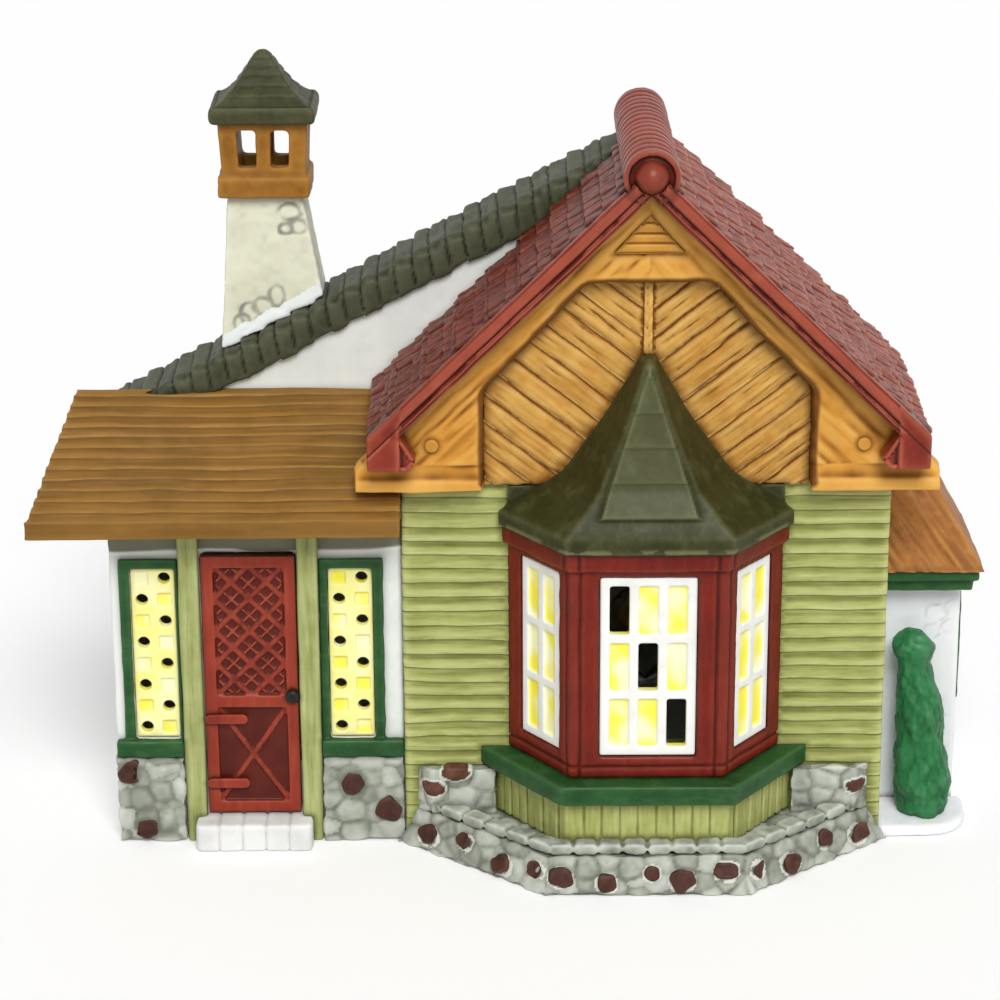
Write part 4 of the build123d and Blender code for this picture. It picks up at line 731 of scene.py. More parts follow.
@dataclass(frozen=True)
class LampFinish:
    """A finish of the bought-in lamp: moulded plastic, drawn metal or clear glass.

    Attributes:
        name: The material's name.
        base: Main colour of 0 to 255.
        tint: Second tone, as of handling or tarnish.
        roughness: Mean roughness.
        metallic: 1 for metal.
        transmission: 1 for glass.
        scuff: Size of a scuff along each axis.
    """

    name: str
    base: Triple
    tint: Triple
    roughness: float
    metallic: float = 0.0
    transmission: float = 0.0
    scuff: Triple = (3.0, 3.0, 3.0)

    IOR: ClassVar[float] = 1.5

    def material(self) -> bpy.types.Material:
        """Builds the node tree.

        Returns:
            The material.
        """
        recipe = Recipe(self.name)
        scuffs = recipe.streaked(self.scuff)
        colour = recipe.mix(scuffs.rise(0.45, 0.75) * 0.6, self.base, self.tint)
        rough = scuffs * 0.2 + (self.roughness - 0.1)
        normal = recipe.bump(recipe.noise(0.6), 0.01)
        shader = recipe.node(
            "ShaderNodeBsdfPrincipled", {},
            {
                "Base Color": colour, "Roughness": rough, "Normal": normal, "Metallic": self.metallic,
                "Transmission Weight": self.transmission, "IOR": self.IOR,
            },
        )
        return recipe.finish(shader)


@dataclass
class Casting:
    """One slip-cast piece: a softened, carved and painted copy of its CAD node.

    Attributes:
        node: The CAD node it stands for.
        paint: Its paint.
        voxel: Size of the grain it is recast at.
        soften: Passes that round its edges.
        carve: Height carved at each place, along the surface's own normal.
        sway: Shift of each place, so that straight lines run by hand.
        tone: Tone of each place for its paint.
        outward: Direction that its face looks, from which depth is measured.
        spread: Passes over which crevices and crests are felt.
        full_relief: Depth of a crevice that takes the full dark tone, washed-in paint and painted shade, and height
            of a crest that shows fully worn.
        seam: Reach of the painted shade beside another piece, with paint washed into the joint.
    """

    node: str
    paint: BisquePaint
    voxel: float
    soften: int
    carve: Field | None = None
    sway: Field | None = None
    tone: Field | None = None
    outward: Triple | None = None
    spread: int = 10
    full_relief: float = 0.22
    seam: float = 1.3

    shells: ClassVar[dict[str, tuple[Array, Array, BVHTree]]] = {}

    def make(self, frame: dict[str, Any]) -> None:
        """Casts, carves, paints and mounts the piece.

        Args:
            frame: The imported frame.
        """
        piece = self.copy_node(frame["nodes"][self.node])
        self.recast(piece)
        self.carve_relief(piece.data)
        self.feel_relief(piece.data)
        self.feel_joints(piece.data, frame)
        piece.data.materials.clear()
        piece.data.materials.append(self.paint.material())
        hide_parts(self.node)
        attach(piece, HOUSE)
        slots = {row["node"]: row["material_slot"] for row in frame["record"]["subparts"]}
        LOG.info("%s: %d faces", piece.name, len(piece.data.polygons))

    def copy_node(self, node: bpy.types.Object) -> bpy.types.Object:
        """Copies the node's mesh and merges its loose triangles.

        Args:
            node: The CAD node's object.

        Returns:
            The copy, the only object selected.
        """
        bpy.ops.object.select_all(action="DESELECT")
        piece = bpy.data.objects.new(f"cast_{self.node}", node.data.copy())
        bpy.context.scene.collection.objects.link(piece)
        bpy.context.view_layer.objects.active = piece
        piece.select_set(True)
        bpy.ops.object.mode_set(mode="EDIT")
        bpy.ops.mesh.select_all(action="SELECT")
        bpy.ops.mesh.remove_doubles(threshold=0.004 * MM)
        bpy.ops.object.mode_set(mode="OBJECT")
        return piece

    def recast(self, piece: bpy.types.Object) -> None:
        """Remeshes the piece evenly and rounds its edges, as slip casting does.

        Args:
            piece: The selected copy.
        """
        remesh = piece.modifiers.new("recast", "REMESH")
        remesh.mode = "VOXEL"
        remesh.voxel_size = self.voxel * MM
        bpy.ops.object.modifier_apply(modifier=remesh.name)
        smooth = piece.modifiers.new("soften", "SMOOTH")
        smooth.factor = 0.5
        smooth.iterations = self.soften
        bpy.ops.object.modifier_apply(modifier=smooth.name)
        bpy.ops.object.shade_smooth()

    @staticmethod
    def read(mesh: bpy.types.Mesh) -> Surface:
        """Reads a mesh into arrays.

        Args:
            mesh: The piece's mesh.

        Returns:
            Its surface.
        """
        count = len(mesh.vertices)
        points = np.empty(count * 3)
        normals = np.empty(count * 3)
        mesh.vertices.foreach_get("co", points)
        mesh.vertices.foreach_get("normal", normals)
        return Surface(points.reshape(-1, 3) / MM, normals.reshape(-1, 3))

    def carve_relief(self, mesh: bpy.types.Mesh) -> None:
        """Shifts and carves the surface, and keeps its tone.

        Args:
            mesh: The piece's mesh.
        """
        face = self.read(mesh)
        tone = self.tone(face) if self.tone else np.full(len(face.points), 0.5)
        moved = face.points.copy()
        if self.carve:
            moved += face.normals * self.carve(face)[:, None]
        if self.sway:
            moved += self.sway(face)
        moved[:, 2] = np.maximum(moved[:, 2], 0.0)
        mesh.vertices.foreach_set("co", (moved * MM).ravel())
        mesh.update()
        self.keep(mesh, TONE, tone)

    def feel_relief(self, mesh: bpy.types.Mesh) -> None:
        """Keeps how sunk, how raised and how deep each place is, for the paint.

        Args:
            mesh: The piece's mesh.
        """
        face = self.read(mesh)
        points, count = face.points, len(face.points)
        ends = np.empty(len(mesh.edges) * 2, dtype=np.int32)
        mesh.edges.foreach_get("vertices", ends)
        first, last = ends[0::2], ends[1::2]
        joined = np.bincount(ends, minlength=count)[:, None]
        soft = points.copy()
        for _ in range(self.spread):
            total = np.zeros_like(soft)
            for axis in range(3):
                total[:, axis] = np.bincount(first, soft[last, axis], count)
                total[:, axis] += np.bincount(last, soft[first, axis], count)
            soft = (soft + total / joined) / 2
        rise = ((points - soft) * face.normals).sum(axis=1)
        self.keep(mesh, CREVICE, np.clip(-rise / self.full_relief, 0, 1))
        self.keep(mesh, CREST, np.clip(rise / self.full_relief, 0, 1))
        if self.outward:
            reach = points @ np.array(self.outward)
            self.keep(mesh, DEPTH, reach.max() - reach)

    def feel_joints(self, mesh: bpy.types.Mesh, frame: dict[str, Any]) -> None:
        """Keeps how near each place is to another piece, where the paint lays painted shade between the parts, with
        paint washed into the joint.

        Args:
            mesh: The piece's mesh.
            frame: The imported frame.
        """
        points = self.read(mesh).points
        near = np.full(len(points), self.seam)
        for name, (low, high, shell) in self.all_shells(frame).items():
            if name == self.node:
                continue
            inside = np.all((points > low - self.seam) & (points < high + self.seam), axis=1)
            for index in np.flatnonzero(inside):
                found = shell.find_nearest(points[index], near[index])[3]
                if found is not None:
                    near[index] = found
        # Near another piece the paint darkens as painted shade between the parts.
        self.keep(mesh, JOINT, 1 - (near / self.seam) ** 0.7)

    @classmethod
    def all_shells(cls, frame: dict[str, Any]) -> dict[str, tuple[Array, Array, BVHTree]]:
        """Search trees of the house's CAD nodes, made once.

        Args:
            frame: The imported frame.

        Returns:
            The lowest corner, highest corner and search tree of each node.
        """
        if not cls.shells:
            for name in frame["record"]["behaviour"]["bodies"][HOUSE]:
                mesh = frame["nodes"][name].data
                places = cls.read(mesh).points
                faces = [tuple(face.vertices) for face in mesh.polygons]
                shell = BVHTree.FromPolygons(places.tolist(), faces)
                cls.shells[name] = places.min(axis=0), places.max(axis=0), shell
        return cls.shells

    @staticmethod
    def keep(mesh: bpy.types.Mesh, name: str, values: Array) -> None:
        """Writes one number for each place as an attribute of the mesh."""
        mesh.attributes.new(name, "FLOAT", "POINT").data.foreach_set("value", values.astype(np.float32))


class Assembly:
    """A group of castings that are made together."""

    def castings(self) -> list[Casting]:
        """The castings in the order in which they are made."""
        return []

    def build(self, frame: dict[str, Any]) -> None:
        """Casts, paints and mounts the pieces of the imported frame."""
        for casting in self.castings():
            casting.make(frame)


WHITE = BisquePaint(
    "white_bisque", (230, 233, 226), (221, 225, 219), (160, 165, 158), (238, 240, 234), 0.5, 0.4, grain_share=0.06
)
GREEN_TRIM = BisquePaint(
    "green_trim", (37, 81, 38), (28, 69, 30), (9, 36, 14), (74, 114, 70), 0.8, 0.4,
    grain=(5, 5, 2), roughness=0.42, coat=0.06,
)
PANES = PanePaint("window_panes", (240, 240, 236), (232, 232, 228), (196, 196, 186), (246, 246, 242), 0.35, 0.3)


@dataclass
class Gable(Assembly):
    """The clapboard front wall and the timber gable over it.

    Attributes:
        pitch: Pitch of the rakes in degrees.
        board_lean: Lean of the panel's boards in degrees, rising from the middle post.
        board_w: Height of a board where it meets the post.
        post_half: Half width of the post between the boards.
        foot_z: Height of the panel's foot.
        arch_half: Half width of the frame's arch.
        arch_z: Height of the arch's top.
        arch_outline_shade_width: Width of the dark line round the arch, a brushed outline and painted shade of the
            deep recess.
        vent_z: Height of the vent's foot.
        slat: Height of a slat of the vent.
        grain_depth: Depth of the carved timber grain.
        lap_depth: Depth of the unevenness of the clapboards.
        lap: Height of a clapboard.
        lap_foot_z: Height of the lowest clapboard's foot.
        lap_rise: Height of a clapboard's proud edge.
        joint: Width of a joint between the panel's boards, as a part of a board.
        joint_depth: Depth of these joints.
        post_joint: Width of the joint beside the post.
        slat_rise: How far a slat stands out, and how deep the slit above it is.
        slat_sink: How far the slats are set back.
        ledge_z: Height of the top of the frame's ledges, whose grain runs level.
        apart: Distance that keeps the grain of the two sides different.
    """

    pitch: float = 44.4
    board_lean: float = 38.0
    board_w: float = 6.4
    post_half: float = 1.4
    foot_z: float = 85.0
    arch_half: float = 36.5
    arch_z: float = 132.0
    arch_outline_shade_width: float = 1.1
    vent_z: float = 137.2
    slat: float = 2.15
    grain_depth: float = 0.34
    lap_depth: float = 0.12
    lap: float = 3.3
    lap_foot_z: float = 19.0
    lap_rise: float = 0.17
    joint: float = 0.12
    joint_depth: float = 0.7
    post_joint: float = 0.4
    slat_rise: float = 0.5
    slat_sink: float = 0.3
    ledge_z: float = 91.2
    apart: float = 90.0

    # Its lap lines are painted shade under each clapboard's edge, with light edges that are part painted highlight.
    CLAPBOARD = LapPaint(
        "olive_clapboard", (168, 173, 101), (152, 158, 86), (78, 82, 30), (206, 208, 150), 0.7, 0.4,
        grain=(9, 6, 0.9), grain_share=0.36, blotch=12, bare_from=2.6, line=0.2, line_share=0.85,
    )
    # Its board lines are dark joints with painted shade, with light edges that are part painted highlight.
    PANEL = LapPaint(
        "ochre_boards", (238, 184, 92), (222, 160, 67), (104, 58, 14), (246, 209, 128), 1.0, 0.5,
        grain=(5, 5, 5), grain_share=0.2, blotch=9, bare_from=2.3, line=0.15, edge=0.14,
    )
    TIMBER = StonePaint(
        "ochre_timber", (214, 154, 66), (200, 136, 48), (100, 54, 10), (232, 184, 98), 0.9, 0.5,
        grain=(6, 6, 6), grain_share=0.18, blotch=10, tone_share=0.95,
    )

    def leaning(self, face: Surface, lean: float) -> Array:
        """Turns places so that the first axis follows boards that lean alike on both sides.

        Args:
            face: The piece's surface.
            lean: Lean in degrees, rising outwards.

        Returns:
            Places along, across and through the boards.
        """
        turn = math.radians(lean)
        out, up = np.abs(face.x), face.z
        along = out * math.cos(turn) + up * math.sin(turn)
        across = up * math.cos(turn) - out * math.sin(turn)
        return np.stack([along + self.apart * np.sign(face.x), across, face.y], axis=1)

    def board_grain(self, face: Surface) -> Array:
        """Carved grain along the panel's boards, with sunk joints.

        Args:
            face: The piece's surface.

        Returns:
            The heights.
        """
        place = self.leaning(face, self.board_lean)
        coarse = patchy(place, (13.0, 1.3, 6.0), 1)
        fine = patchy(place, (9.0, 0.7, 6.0), 2)
        part = np.mod(self.board_rows(face), 1.0)
        joint = joint_line(part, self.joint) * (0.75 + 0.35 * face.patchy(6.0, 8))
        joint = np.maximum(joint, ridge(np.abs(face.x) - self.post_half, self.post_joint))
        return self.grain_depth * (1.2 * coarse + 0.9 * fine) - self.joint_depth * joint * face.frontal()

    def board_rows(self, face: Surface) -> Array:
        """Counts the panel's boards, upwards along the middle post.

        Args:
            face: The piece's surface.

        Returns:
            The count, with parts of a board.
        """
        across = self.leaning(face, self.board_lean)[:, 1] / math.cos(math.radians(self.board_lean))
        rows = (across - self.foot_z) / self.board_w + 0.08 * face.patchy(9.0, 59)
        return np.where(np.abs(face.x) < self.post_half, 0.5, rows)

    def slats(self, face: Surface) -> Array:
        """Lapped slats of the vent."""
        part = np.mod((face.z - self.vent_z) / self.slat, 1.0)
        return (self.slat_rise * part - self.slat_rise * ridge(part, 0.14) - self.slat_sink) * face.frontal()

    def barge_grain(self, face: Surface) -> Array:
        """Carved grain along the rakes, with a hand-cut edge.

        Args:
            face: The piece's surface.

        Returns:
            The heights.
        """
        place = self.leaning(face, -self.pitch)
        low = face.z < self.ledge_z
        place[low] = face.points[low]
        strokes = patchy(place, (22.0, 1.7, 8.0), 3) + 0.5 * patchy(place, (9.0, 1.5, 8.0), 60)
        return self.grain_depth * (strokes + face.patchy(9.0, 4))

    def arch_outline_and_shade(self, face: Surface) -> Array:
        """Dark line round the frame's arch, on its inner faces and along its edge: a brushed outline, and painted
        shade where the deep arch lies in shadow.

        Args:
            face: The piece's surface.

        Returns:
            0 where the dark is full and 0.5 where there is none.
        """
        inwards = face.normals[:, 0] * np.sign(-face.x) * 0.9 - face.normals[:, 2] * 0.7
        within = (np.abs(face.x) < self.arch_half + 1) & (face.z < self.arch_z) & (face.z > self.foot_z + 2)
        edge = face.points[within & (inwards > 0.6)]
        tree = search_tree([(x, 0.0, z) for x, _, z in edge])
        near = np.array([tree.find((x, 0.0, z))[2] for x, _, z in face.points])
        reach = self.arch_outline_shade_width * (1 + 0.45 * face.patchy(7.0, 61))
        return 0.5 * np.clip((near - 0.5 * reach) / reach, 0, 1)

    def lap_rows(self, face: Surface) -> Array:
        """Counts the clapboards upwards, with lines that rise and fall a little."""
        return (face.z - self.lap_foot_z) / self.lap + 0.16 * face.patchy((15.0, 50.0, 9.0), 7)

    def laps(self, face: Surface) -> Array:
        """Clapboards whose lower edges stand proud, with uneven faces.

        Args:
            face: The piece's surface.

        Returns:
            The heights.
        """
        part = np.mod(self.lap_rows(face), 1.0)
        lap = self.lap_rise * np.cos(2 * math.pi * (part - 0.2))
        rough = face.patchy((18.0, 5.0, 1.1), 5) + face.patchy((7.0, 7.0, 4.0), 6)
        return np.where(face.frontal(), lap, 0.0) * (face.z > self.lap_foot_z) + self.lap_depth * rough

    def castings(self) -> list[Casting]:
        """The wall, panel, barge frame, vent and pegs.

        Returns:
            The castings in order.
        """
        return [
            Casting("front_wall", self.CLAPBOARD, 0.6, 12, self.laps, tone=self.lap_rows, outward=FRONT),
            # The panel's wide seam lays painted shade on it beside the frame and the post.
            Casting(
                "gable_panel", self.PANEL, 0.36, 2, self.board_grain, tone=self.board_rows, outward=FRONT,
                spread=7, full_relief=0.115, seam=4.2,
            ),
            Casting("barge_frame", self.TIMBER, 0.5, 11, self.barge_grain, tone=self.arch_outline_and_shade, spread=12, full_relief=0.13),
            Casting("gable_vent", self.TIMBER, 0.26, 1, self.slats, spread=14),
            Casting("barge_pegs", self.TIMBER, 0.2, 3, seam=0.9),
        ]


@dataclass
class RedRoof(Assembly):
    """The red shingled main roof with its ringed ridge roll and rakes.

    Attributes:
        pitch: Pitch of the slopes in degrees.
        apex_z: Height of the slopes' meeting line.
        row: Height of a row of shingles.
        column: Width of a shingle.
        boot_x: Distance from the middle where a rake's foot starts.
        stretch: Half the length of the stretch where a rake's width is measured.
        groove: Where the groove between roll and bead lies, as a part of the rake's width.
        groove_depth: Depth of that groove.
        roll: Middle and half width of the roll, as parts of the rake's width.
        bead: The same of the bead.
        bead_share: Height of the bead, as a part of the roll's.
        roll_rise: Height of the roll.
        roll_sink: How far the rake's face is cut back for them.
        shingle_rise: How far a shingle's lower end stands proud.
        shingle_tilt: Difference between high and low shingles.
        slit: Depth of the slit between two shingles.
        sink: How far the shingled face is cut back.
    """

    pitch: float = 44.4
    apex_z: float = 151.0
    row: float = 4.7
    column: float = 5.4
    boot_x: float = 52.5
    stretch: float = 8.0
    groove: float = 0.67
    groove_depth: float = 0.55
    roll: tuple[float, float] = (0.32, 0.36)
    bead: tuple[float, float] = (0.82, 0.17)
    bead_share: float = 0.55
    roll_rise: float = 1.25
    roll_sink: float = 1.1
    shingle_rise: float = 0.5
    shingle_tilt: float = 0.45
    slit: float = 0.5
    sink: float = 0.35

    # One red paint laid as two copies: the left slope darker as painted shade, the right slope lighter with stronger
    # crests as painted highlight.
    SHINGLE: ClassVar[dict[Side, BisquePaint]] = {
        Side.LEFT: BisquePaint(
            "shaded_red_slope", (112, 44, 30), (86, 32, 21), (30, 12, 8), (158, 86, 66), 0.95, 0.45,
            grain=(3, 2, 3), grain_share=0.35, blotch=6, roughness=0.45, coat=0.12,
        ),
        Side.RIGHT: BisquePaint(
            "lit_red_slope", (140, 62, 42), (112, 43, 29), (42, 15, 10), (184, 112, 88), 0.9, 0.6,
            grain=(3, 2, 3), grain_share=0.35, blotch=6, roughness=0.42, coat=0.08,
        ),
    }
    RIM = BisquePaint(
        "red_moulding", (126, 43, 27), (110, 34, 20), (50, 13, 7), (176, 98, 76), 0.9, 0.5,
        grain=(6, 4, 6), grain_share=0.16, roughness=0.38, coat=0.12,
    )
    # The rake's groove takes a painted shade line and the bead beside it a painted highlight.
    RAKE = LapPaint(
        "red_rake", (130, 44, 27), (114, 34, 20), (52, 13, 7), (186, 100, 76), 0.9, 0.5,
        grain=(6, 4, 6), grain_share=0.16, roughness=0.38, coat=0.12, line_share=0.95, edge_share=0.7,
    )

    def shingles(self, face: Surface) -> Array:
        """Overlapping shingles on the upper faces, each with its own tilt.

        Args:
            face: The piece's surface.

        Returns:
            The heights.
        """
        turn = math.radians(self.pitch)
        down = np.abs(face.x) * math.cos(turn) + (self.apex_z - face.z) * math.sin(turn)
        down = down + 0.5 * face.patchy(5.0, 8)
        row = np.floor(down / self.row)
        across = face.y / self.column + 0.5 * np.mod(row, 2) + 0.16 * np.sin(row * 2.3)
        part = np.mod(across, 1.0)
        cell = np.stack([row, np.floor(across), np.sign(face.x)], axis=1).astype(np.int64)
        lap = np.mod(down / self.row, 1.0)
        slit = joint_line(part, 0.07)
        height = self.shingle_rise * lap + self.shingle_tilt * scatter(cell, 3) - self.slit * slit
        height = height + 0.28 * face.patchy(1.9, 9) - self.sink
        return np.where(face.normals[:, 2] > 0.25, height, 0.05 * face.patchy(4.0, 9))

    def across_rake(self, face: Surface) -> Array:
        """Where each place lies across the rake, from 0 at its top to 1 at its foot.

        Args:
            face: The piece's surface.

        Returns:
            The part of the rake's width.
        """
        turn = math.radians(self.pitch)
        below = (self.apex_z - face.z) * math.cos(turn) - np.abs(face.x) * math.sin(turn)
        middle = below[np.abs(np.abs(face.x) - self.boot_x / 2) < self.stretch]
        part = (below - middle.min()) / (middle.max() - middle.min())
        return part + 0.03 * face.patchy(9.0, 57)

    def rake_line(self, face: Surface) -> Array:
        """Counts up to 1 at the groove, so that the paint draws a painted shade line along the groove and a painted
        highlight beside it on the bead's side.
        """
        return np.clip(self.across_rake(face), 0, 1.2) + 1 - self.groove

    def moulding(self, face: Surface) -> Array:
        """An outer roll and an inner bead along the rake, with a groove between them.

        Args:
            face: The piece's surface.

        Returns:
            The heights.
        """
        straight = np.abs(face.x) < self.boot_x
        part = self.across_rake(face)
        roll, bead = (
            np.sqrt(np.clip(1 - ((part - middle) / half) ** 2, 0, 1)) for middle, half in (self.roll, self.bead)
        )
        height = self.roll_rise * np.maximum(roll, self.bead_share * bead) - self.roll_sink
        groove = self.groove_depth * ridge(part - self.groove, 0.1)
        return DENTED(face) + face.frontal(0.35) * straight * (height - groove)

    def castings(self) -> list[Casting]:
        """The slopes, rakes and ridge.

        Returns:
            The castings in order.
        """
        pieces = []
        for side, paint in self.SHINGLE.items():
            pieces += [
                Casting(f"red_roof_{side.value}", paint, 0.5, 2, self.shingles, spread=8),
                Casting(f"rake_{side.value}", self.RAKE, 0.36, 9, self.moulding, tone=self.rake_line, spread=14),
            ]
        return [*pieces, Casting("ridge_roll", self.RIM, 0.38, 2, DENTED)]


@dataclass
class LeftWing(Assembly):
    """The white walls of the wing and the back, under the green catslide roof.

    Attributes:
        pitch: Pitch of the catslide in degrees.
        apex_z: Height of the ridge that the slope falls from.
        plank: Width of a plank.
        thick: Thickness of the slope.
        drop: How far the planks' ends hang down over the wall.
        wall_y: Face of the wall that they hang in front of.
        blend: Depth over which the planks' ends start to hang.
        plank_rise: How far a plank's lower edge stands proud.
        slit: Depth of the slit between two planks.
        sink: How far the planked face is cut back.
    """

    pitch: float = 27.9
    apex_z: float = 151.0
    plank: float = 4.3
    thick: float = 3.5
    drop: float = 4.8
    wall_y: float = 30.0
    blend: float = 0.8
    plank_rise: float = 0.45
    slit: float = 0.6
    sink: float = 0.2

    SHINGLE = BisquePaint(
        "grey_green_shingle", (70, 72, 53), (59, 61, 43), (26, 27, 16), (94, 96, 75), 0.9, 0.4,
        grain=(2, 6, 2), grain_share=0.25, blotch=6,
    )

    def rows(self, face: Surface) -> Array:
        """Counts the planks down the slope.

        Args:
            face: The piece's surface.

        Returns:
            The count, with parts of a plank.
        """
        turn = math.radians(self.pitch)
        down = (self.apex_z - face.z) * math.sin(turn) - face.x * math.cos(turn)
        return down / self.plank + 0.1 * face.patchy((7.0, 5.0, 7.0), 13)

    def planks(self, face: Surface) -> Array:
        """Rough planks laid across the slope, with a dark slit where each laps the next.

        Args:
            face: The piece's surface.

        Returns:
            The heights.
        """
        rows = self.rows(face)
        part = np.mod(rows, 1.0)
        slit = joint_line(part, 0.085)
        rough = 0.22 * face.patchy((1.8, 6.0, 1.8), 14) + 0.35 * (scatter_rows(rows) - 0.5)
        return np.where(face.normals[:, 2] > -0.4, self.plank_rise * part - self.sink - self.slit * slit + rough, 0.0)

    def verge(self, face: Surface) -> Array:
        """Draws the planks' ends down over the white wall, each by its own length.

        Args:
            face: The piece's surface.

        Returns:
            The shifts.
        """
        turn = math.radians(self.pitch)
        rise = (face.z - self.apex_z - face.x * math.tan(turn)) * math.cos(turn)
        hung = np.clip((self.wall_y + self.blend / 2 - face.y) / self.blend, 0, 1)
        low = np.clip(1 - rise / self.thick, 0, 1) * hung
        ends = self.drop + 1.1 * (scatter_rows(self.rows(face)) - 0.5) + 0.7 * face.patchy((2.6, 30.0, 30.0), 15)
        return face.shift(z=-low * ends)

    def castings(self) -> list[Casting]:
        """The walls and the catslide.

        Returns:
            The castings in order.
        """
        walls = {"left_wall": 0.9, "wing_gable": 0.8, "back_wall": 1.2}
        return [
            *(Casting(node, WHITE, voxel, 2, PLASTERED) for node, voxel in walls.items()),
            Casting("catslide_roof", self.SHINGLE, 0.5, 22, self.planks, self.verge, full_relief=0.3),
        ]


@dataclass
class Entry(Assembly):
    """The side entry: roof, posts, red door, green-framed lights, dado and step.

    Attributes:
        cobbles: Stones of the dado.
        grain_depth: Depth of the grain of the posts and the header.
        eave_shade_z: Height from which the plaster is brushed olive, the header's paint and painted shade of the
            eave.
        door_rail: Width of the door's rails.
        lattice_z: Height of the middle of the door's lattice.
        lattice_half: Half height of the door's lattice.
        fine_bar: Half width of a fine bar of the lattice.
        bar_rise: Height of a fine bar.
        field_depth: Depth at which the door's sunk field starts.
        field_edge: Margin of that field without fine bars.
        eave_y: Where the roof's lowest lap starts.
        lap: Depth of a lap, seen from above.
    """

    cobbles: Cobbles = Cobbles((5.2, 5.2, 4.6), 23, 0.85, 0.6, 2.4)
    grain_depth: float = 0.22
    eave_shade_z: float = 68.6
    door_rail: float = 2.8
    lattice_z: float = 50.08
    lattice_half: float = 15.1
    fine_bar: float = 0.42
    bar_rise: float = 0.5
    field_depth: float = 0.65
    field_edge: float = 0.3
    eave_y: float = -9.0
    lap: float = 3.0

    # Its lap lines are painted shade under each board's edge, and its eave front is painted darker as painted shade.
    ROOF = LapPaint(
        "brown_boards", (140, 101, 44), (126, 90, 37), (72, 47, 14), (172, 128, 60), 0.4, 0.5,
        grain=(18, 2, 2), grain_share=0.18, blotch=14, line=0.2, line_share=0.6, edge=0.2, edge_share=0.4,
    )
    # Its rim colour, olive, is the band under the eave: the header's paint and painted shade of the eave.
    PLASTER = StonePaint(
        "entry_plaster", (230, 233, 226), (221, 225, 219), (160, 165, 158), (238, 240, 234), 0.5, 0.4,
        grain_share=0.06, rim=(84, 80, 34),
    )
    POST = BisquePaint(
        "olive_posts", (164, 170, 108), (142, 148, 84), (74, 76, 32), (200, 206, 148), 0.85, 0.5,
        grain=(1, 3, 14), grain_share=0.35,
    )
    # The door's sunk field is painted a deeper red: the door's darker panel, deepened as painted shade in the recess.
    DOOR = PanePaint(
        "red_door", (148, 55, 36), (136, 46, 29), (50, 11, 4), (180, 92, 68), 0.95, 0.45,
        grain=(1.2, 4, 10), grain_share=0.15, roughness=0.42, coat=0.1,
        pane=(78, 21, 11), glow=(88, 28, 16), recess=0.6,
    )
    LATTICE = PanePaint(
        "lattice_panes", (248, 245, 186), (246, 240, 140), (206, 188, 84), (250, 249, 214), 0.45, 0.4, grain_share=0.1
    )
    LATCH = BisquePaint(
        "black_latch", (24, 24, 25), (36, 35, 34), (8, 8, 8), (70, 68, 64), 0.6, 0.5, roughness=0.4,
    )
    STONE = StonePaint(
        "grey_stone", (162, 166, 153), (130, 134, 120), (80, 83, 70), (216, 219, 210), 0.9, 0.6,
        grain_share=0.12, blotch=6, tone_share=0.35,
    )
    COBBLE = BisquePaint(
        "brown_stone", (84, 52, 42), (68, 42, 34), (36, 20, 15), (118, 82, 68), 0.7, 0.4, grain_share=0.2, blotch=3,
    )
    STEP = BisquePaint(
        "white_blocks", (226, 226, 224), (212, 212, 210), (140, 140, 138), (238, 238, 236), 0.75, 0.4, grain_share=0.1
    )

    def roof_sway(self, face: Surface) -> Array:
        """Lap lines of the roof that wander by hand."""
        wander = 0.5 * face.patchy((14.0, 7.0, 60.0), 16)
        return face.shift(y=wander, z=0.45 * wander + 0.3 * face.patchy((18.0, 18.0, 40.0), 17))

    def roof_rows(self, face: Surface) -> Array:
        """Counts the roof's laps up from the eave, holding the eave's front face near a lap's end so that it is
        painted darker as painted shade.
        """
        rows = (face.y - self.eave_y) / self.lap + 0.1 * face.patchy((16.0, 9.0, 60.0), 60)
        # The eave's front face is darkened as painted shade.
        return np.where(face.y < self.eave_y + 0.6, 0.88, rows)

    def door_grain(self, face: Surface) -> Array:
        """Faint grain of the door, and the fine bars between the lattice's main ones.

        Args:
            face: The piece's surface.

        Returns:
            The heights.
        """
        low, high = face.points.min(axis=0), face.points.max(axis=0)
        half = (high[0] - low[0]) / 2 - self.door_rail
        side, up = face.x - (low[0] + high[0]) / 2, face.z - self.lattice_z
        sunk = (face.y > low[1] + self.field_depth) & face.frontal(0.5)
        within = sunk & (np.abs(side) < half - self.field_edge) & (np.abs(up) < self.lattice_half - self.field_edge)
        away = np.minimum(*(np.abs(np.mod((side + lean * up) / half, 1.0) - 0.5) for lean in (-1, 1)))
        bars = np.clip(1.5 - away * half / self.fine_bar, 0, 1)
        return 0.06 * face.patchy((0.9, 3.0, 9.0), 21) + self.bar_rise * bars * within

    def eave_shade_band(self, face: Surface) -> Array:
        """Olive band brushed on the plaster under the eave: the header's paint and painted shade of the eave."""
        reach = face.z - self.eave_shade_z - 1.2 * face.patchy((9.0, 30.0, 30.0), 58)
        return 0.5 + 1.4 * np.clip(reach / 1.6 + 0.5, 0, 1)

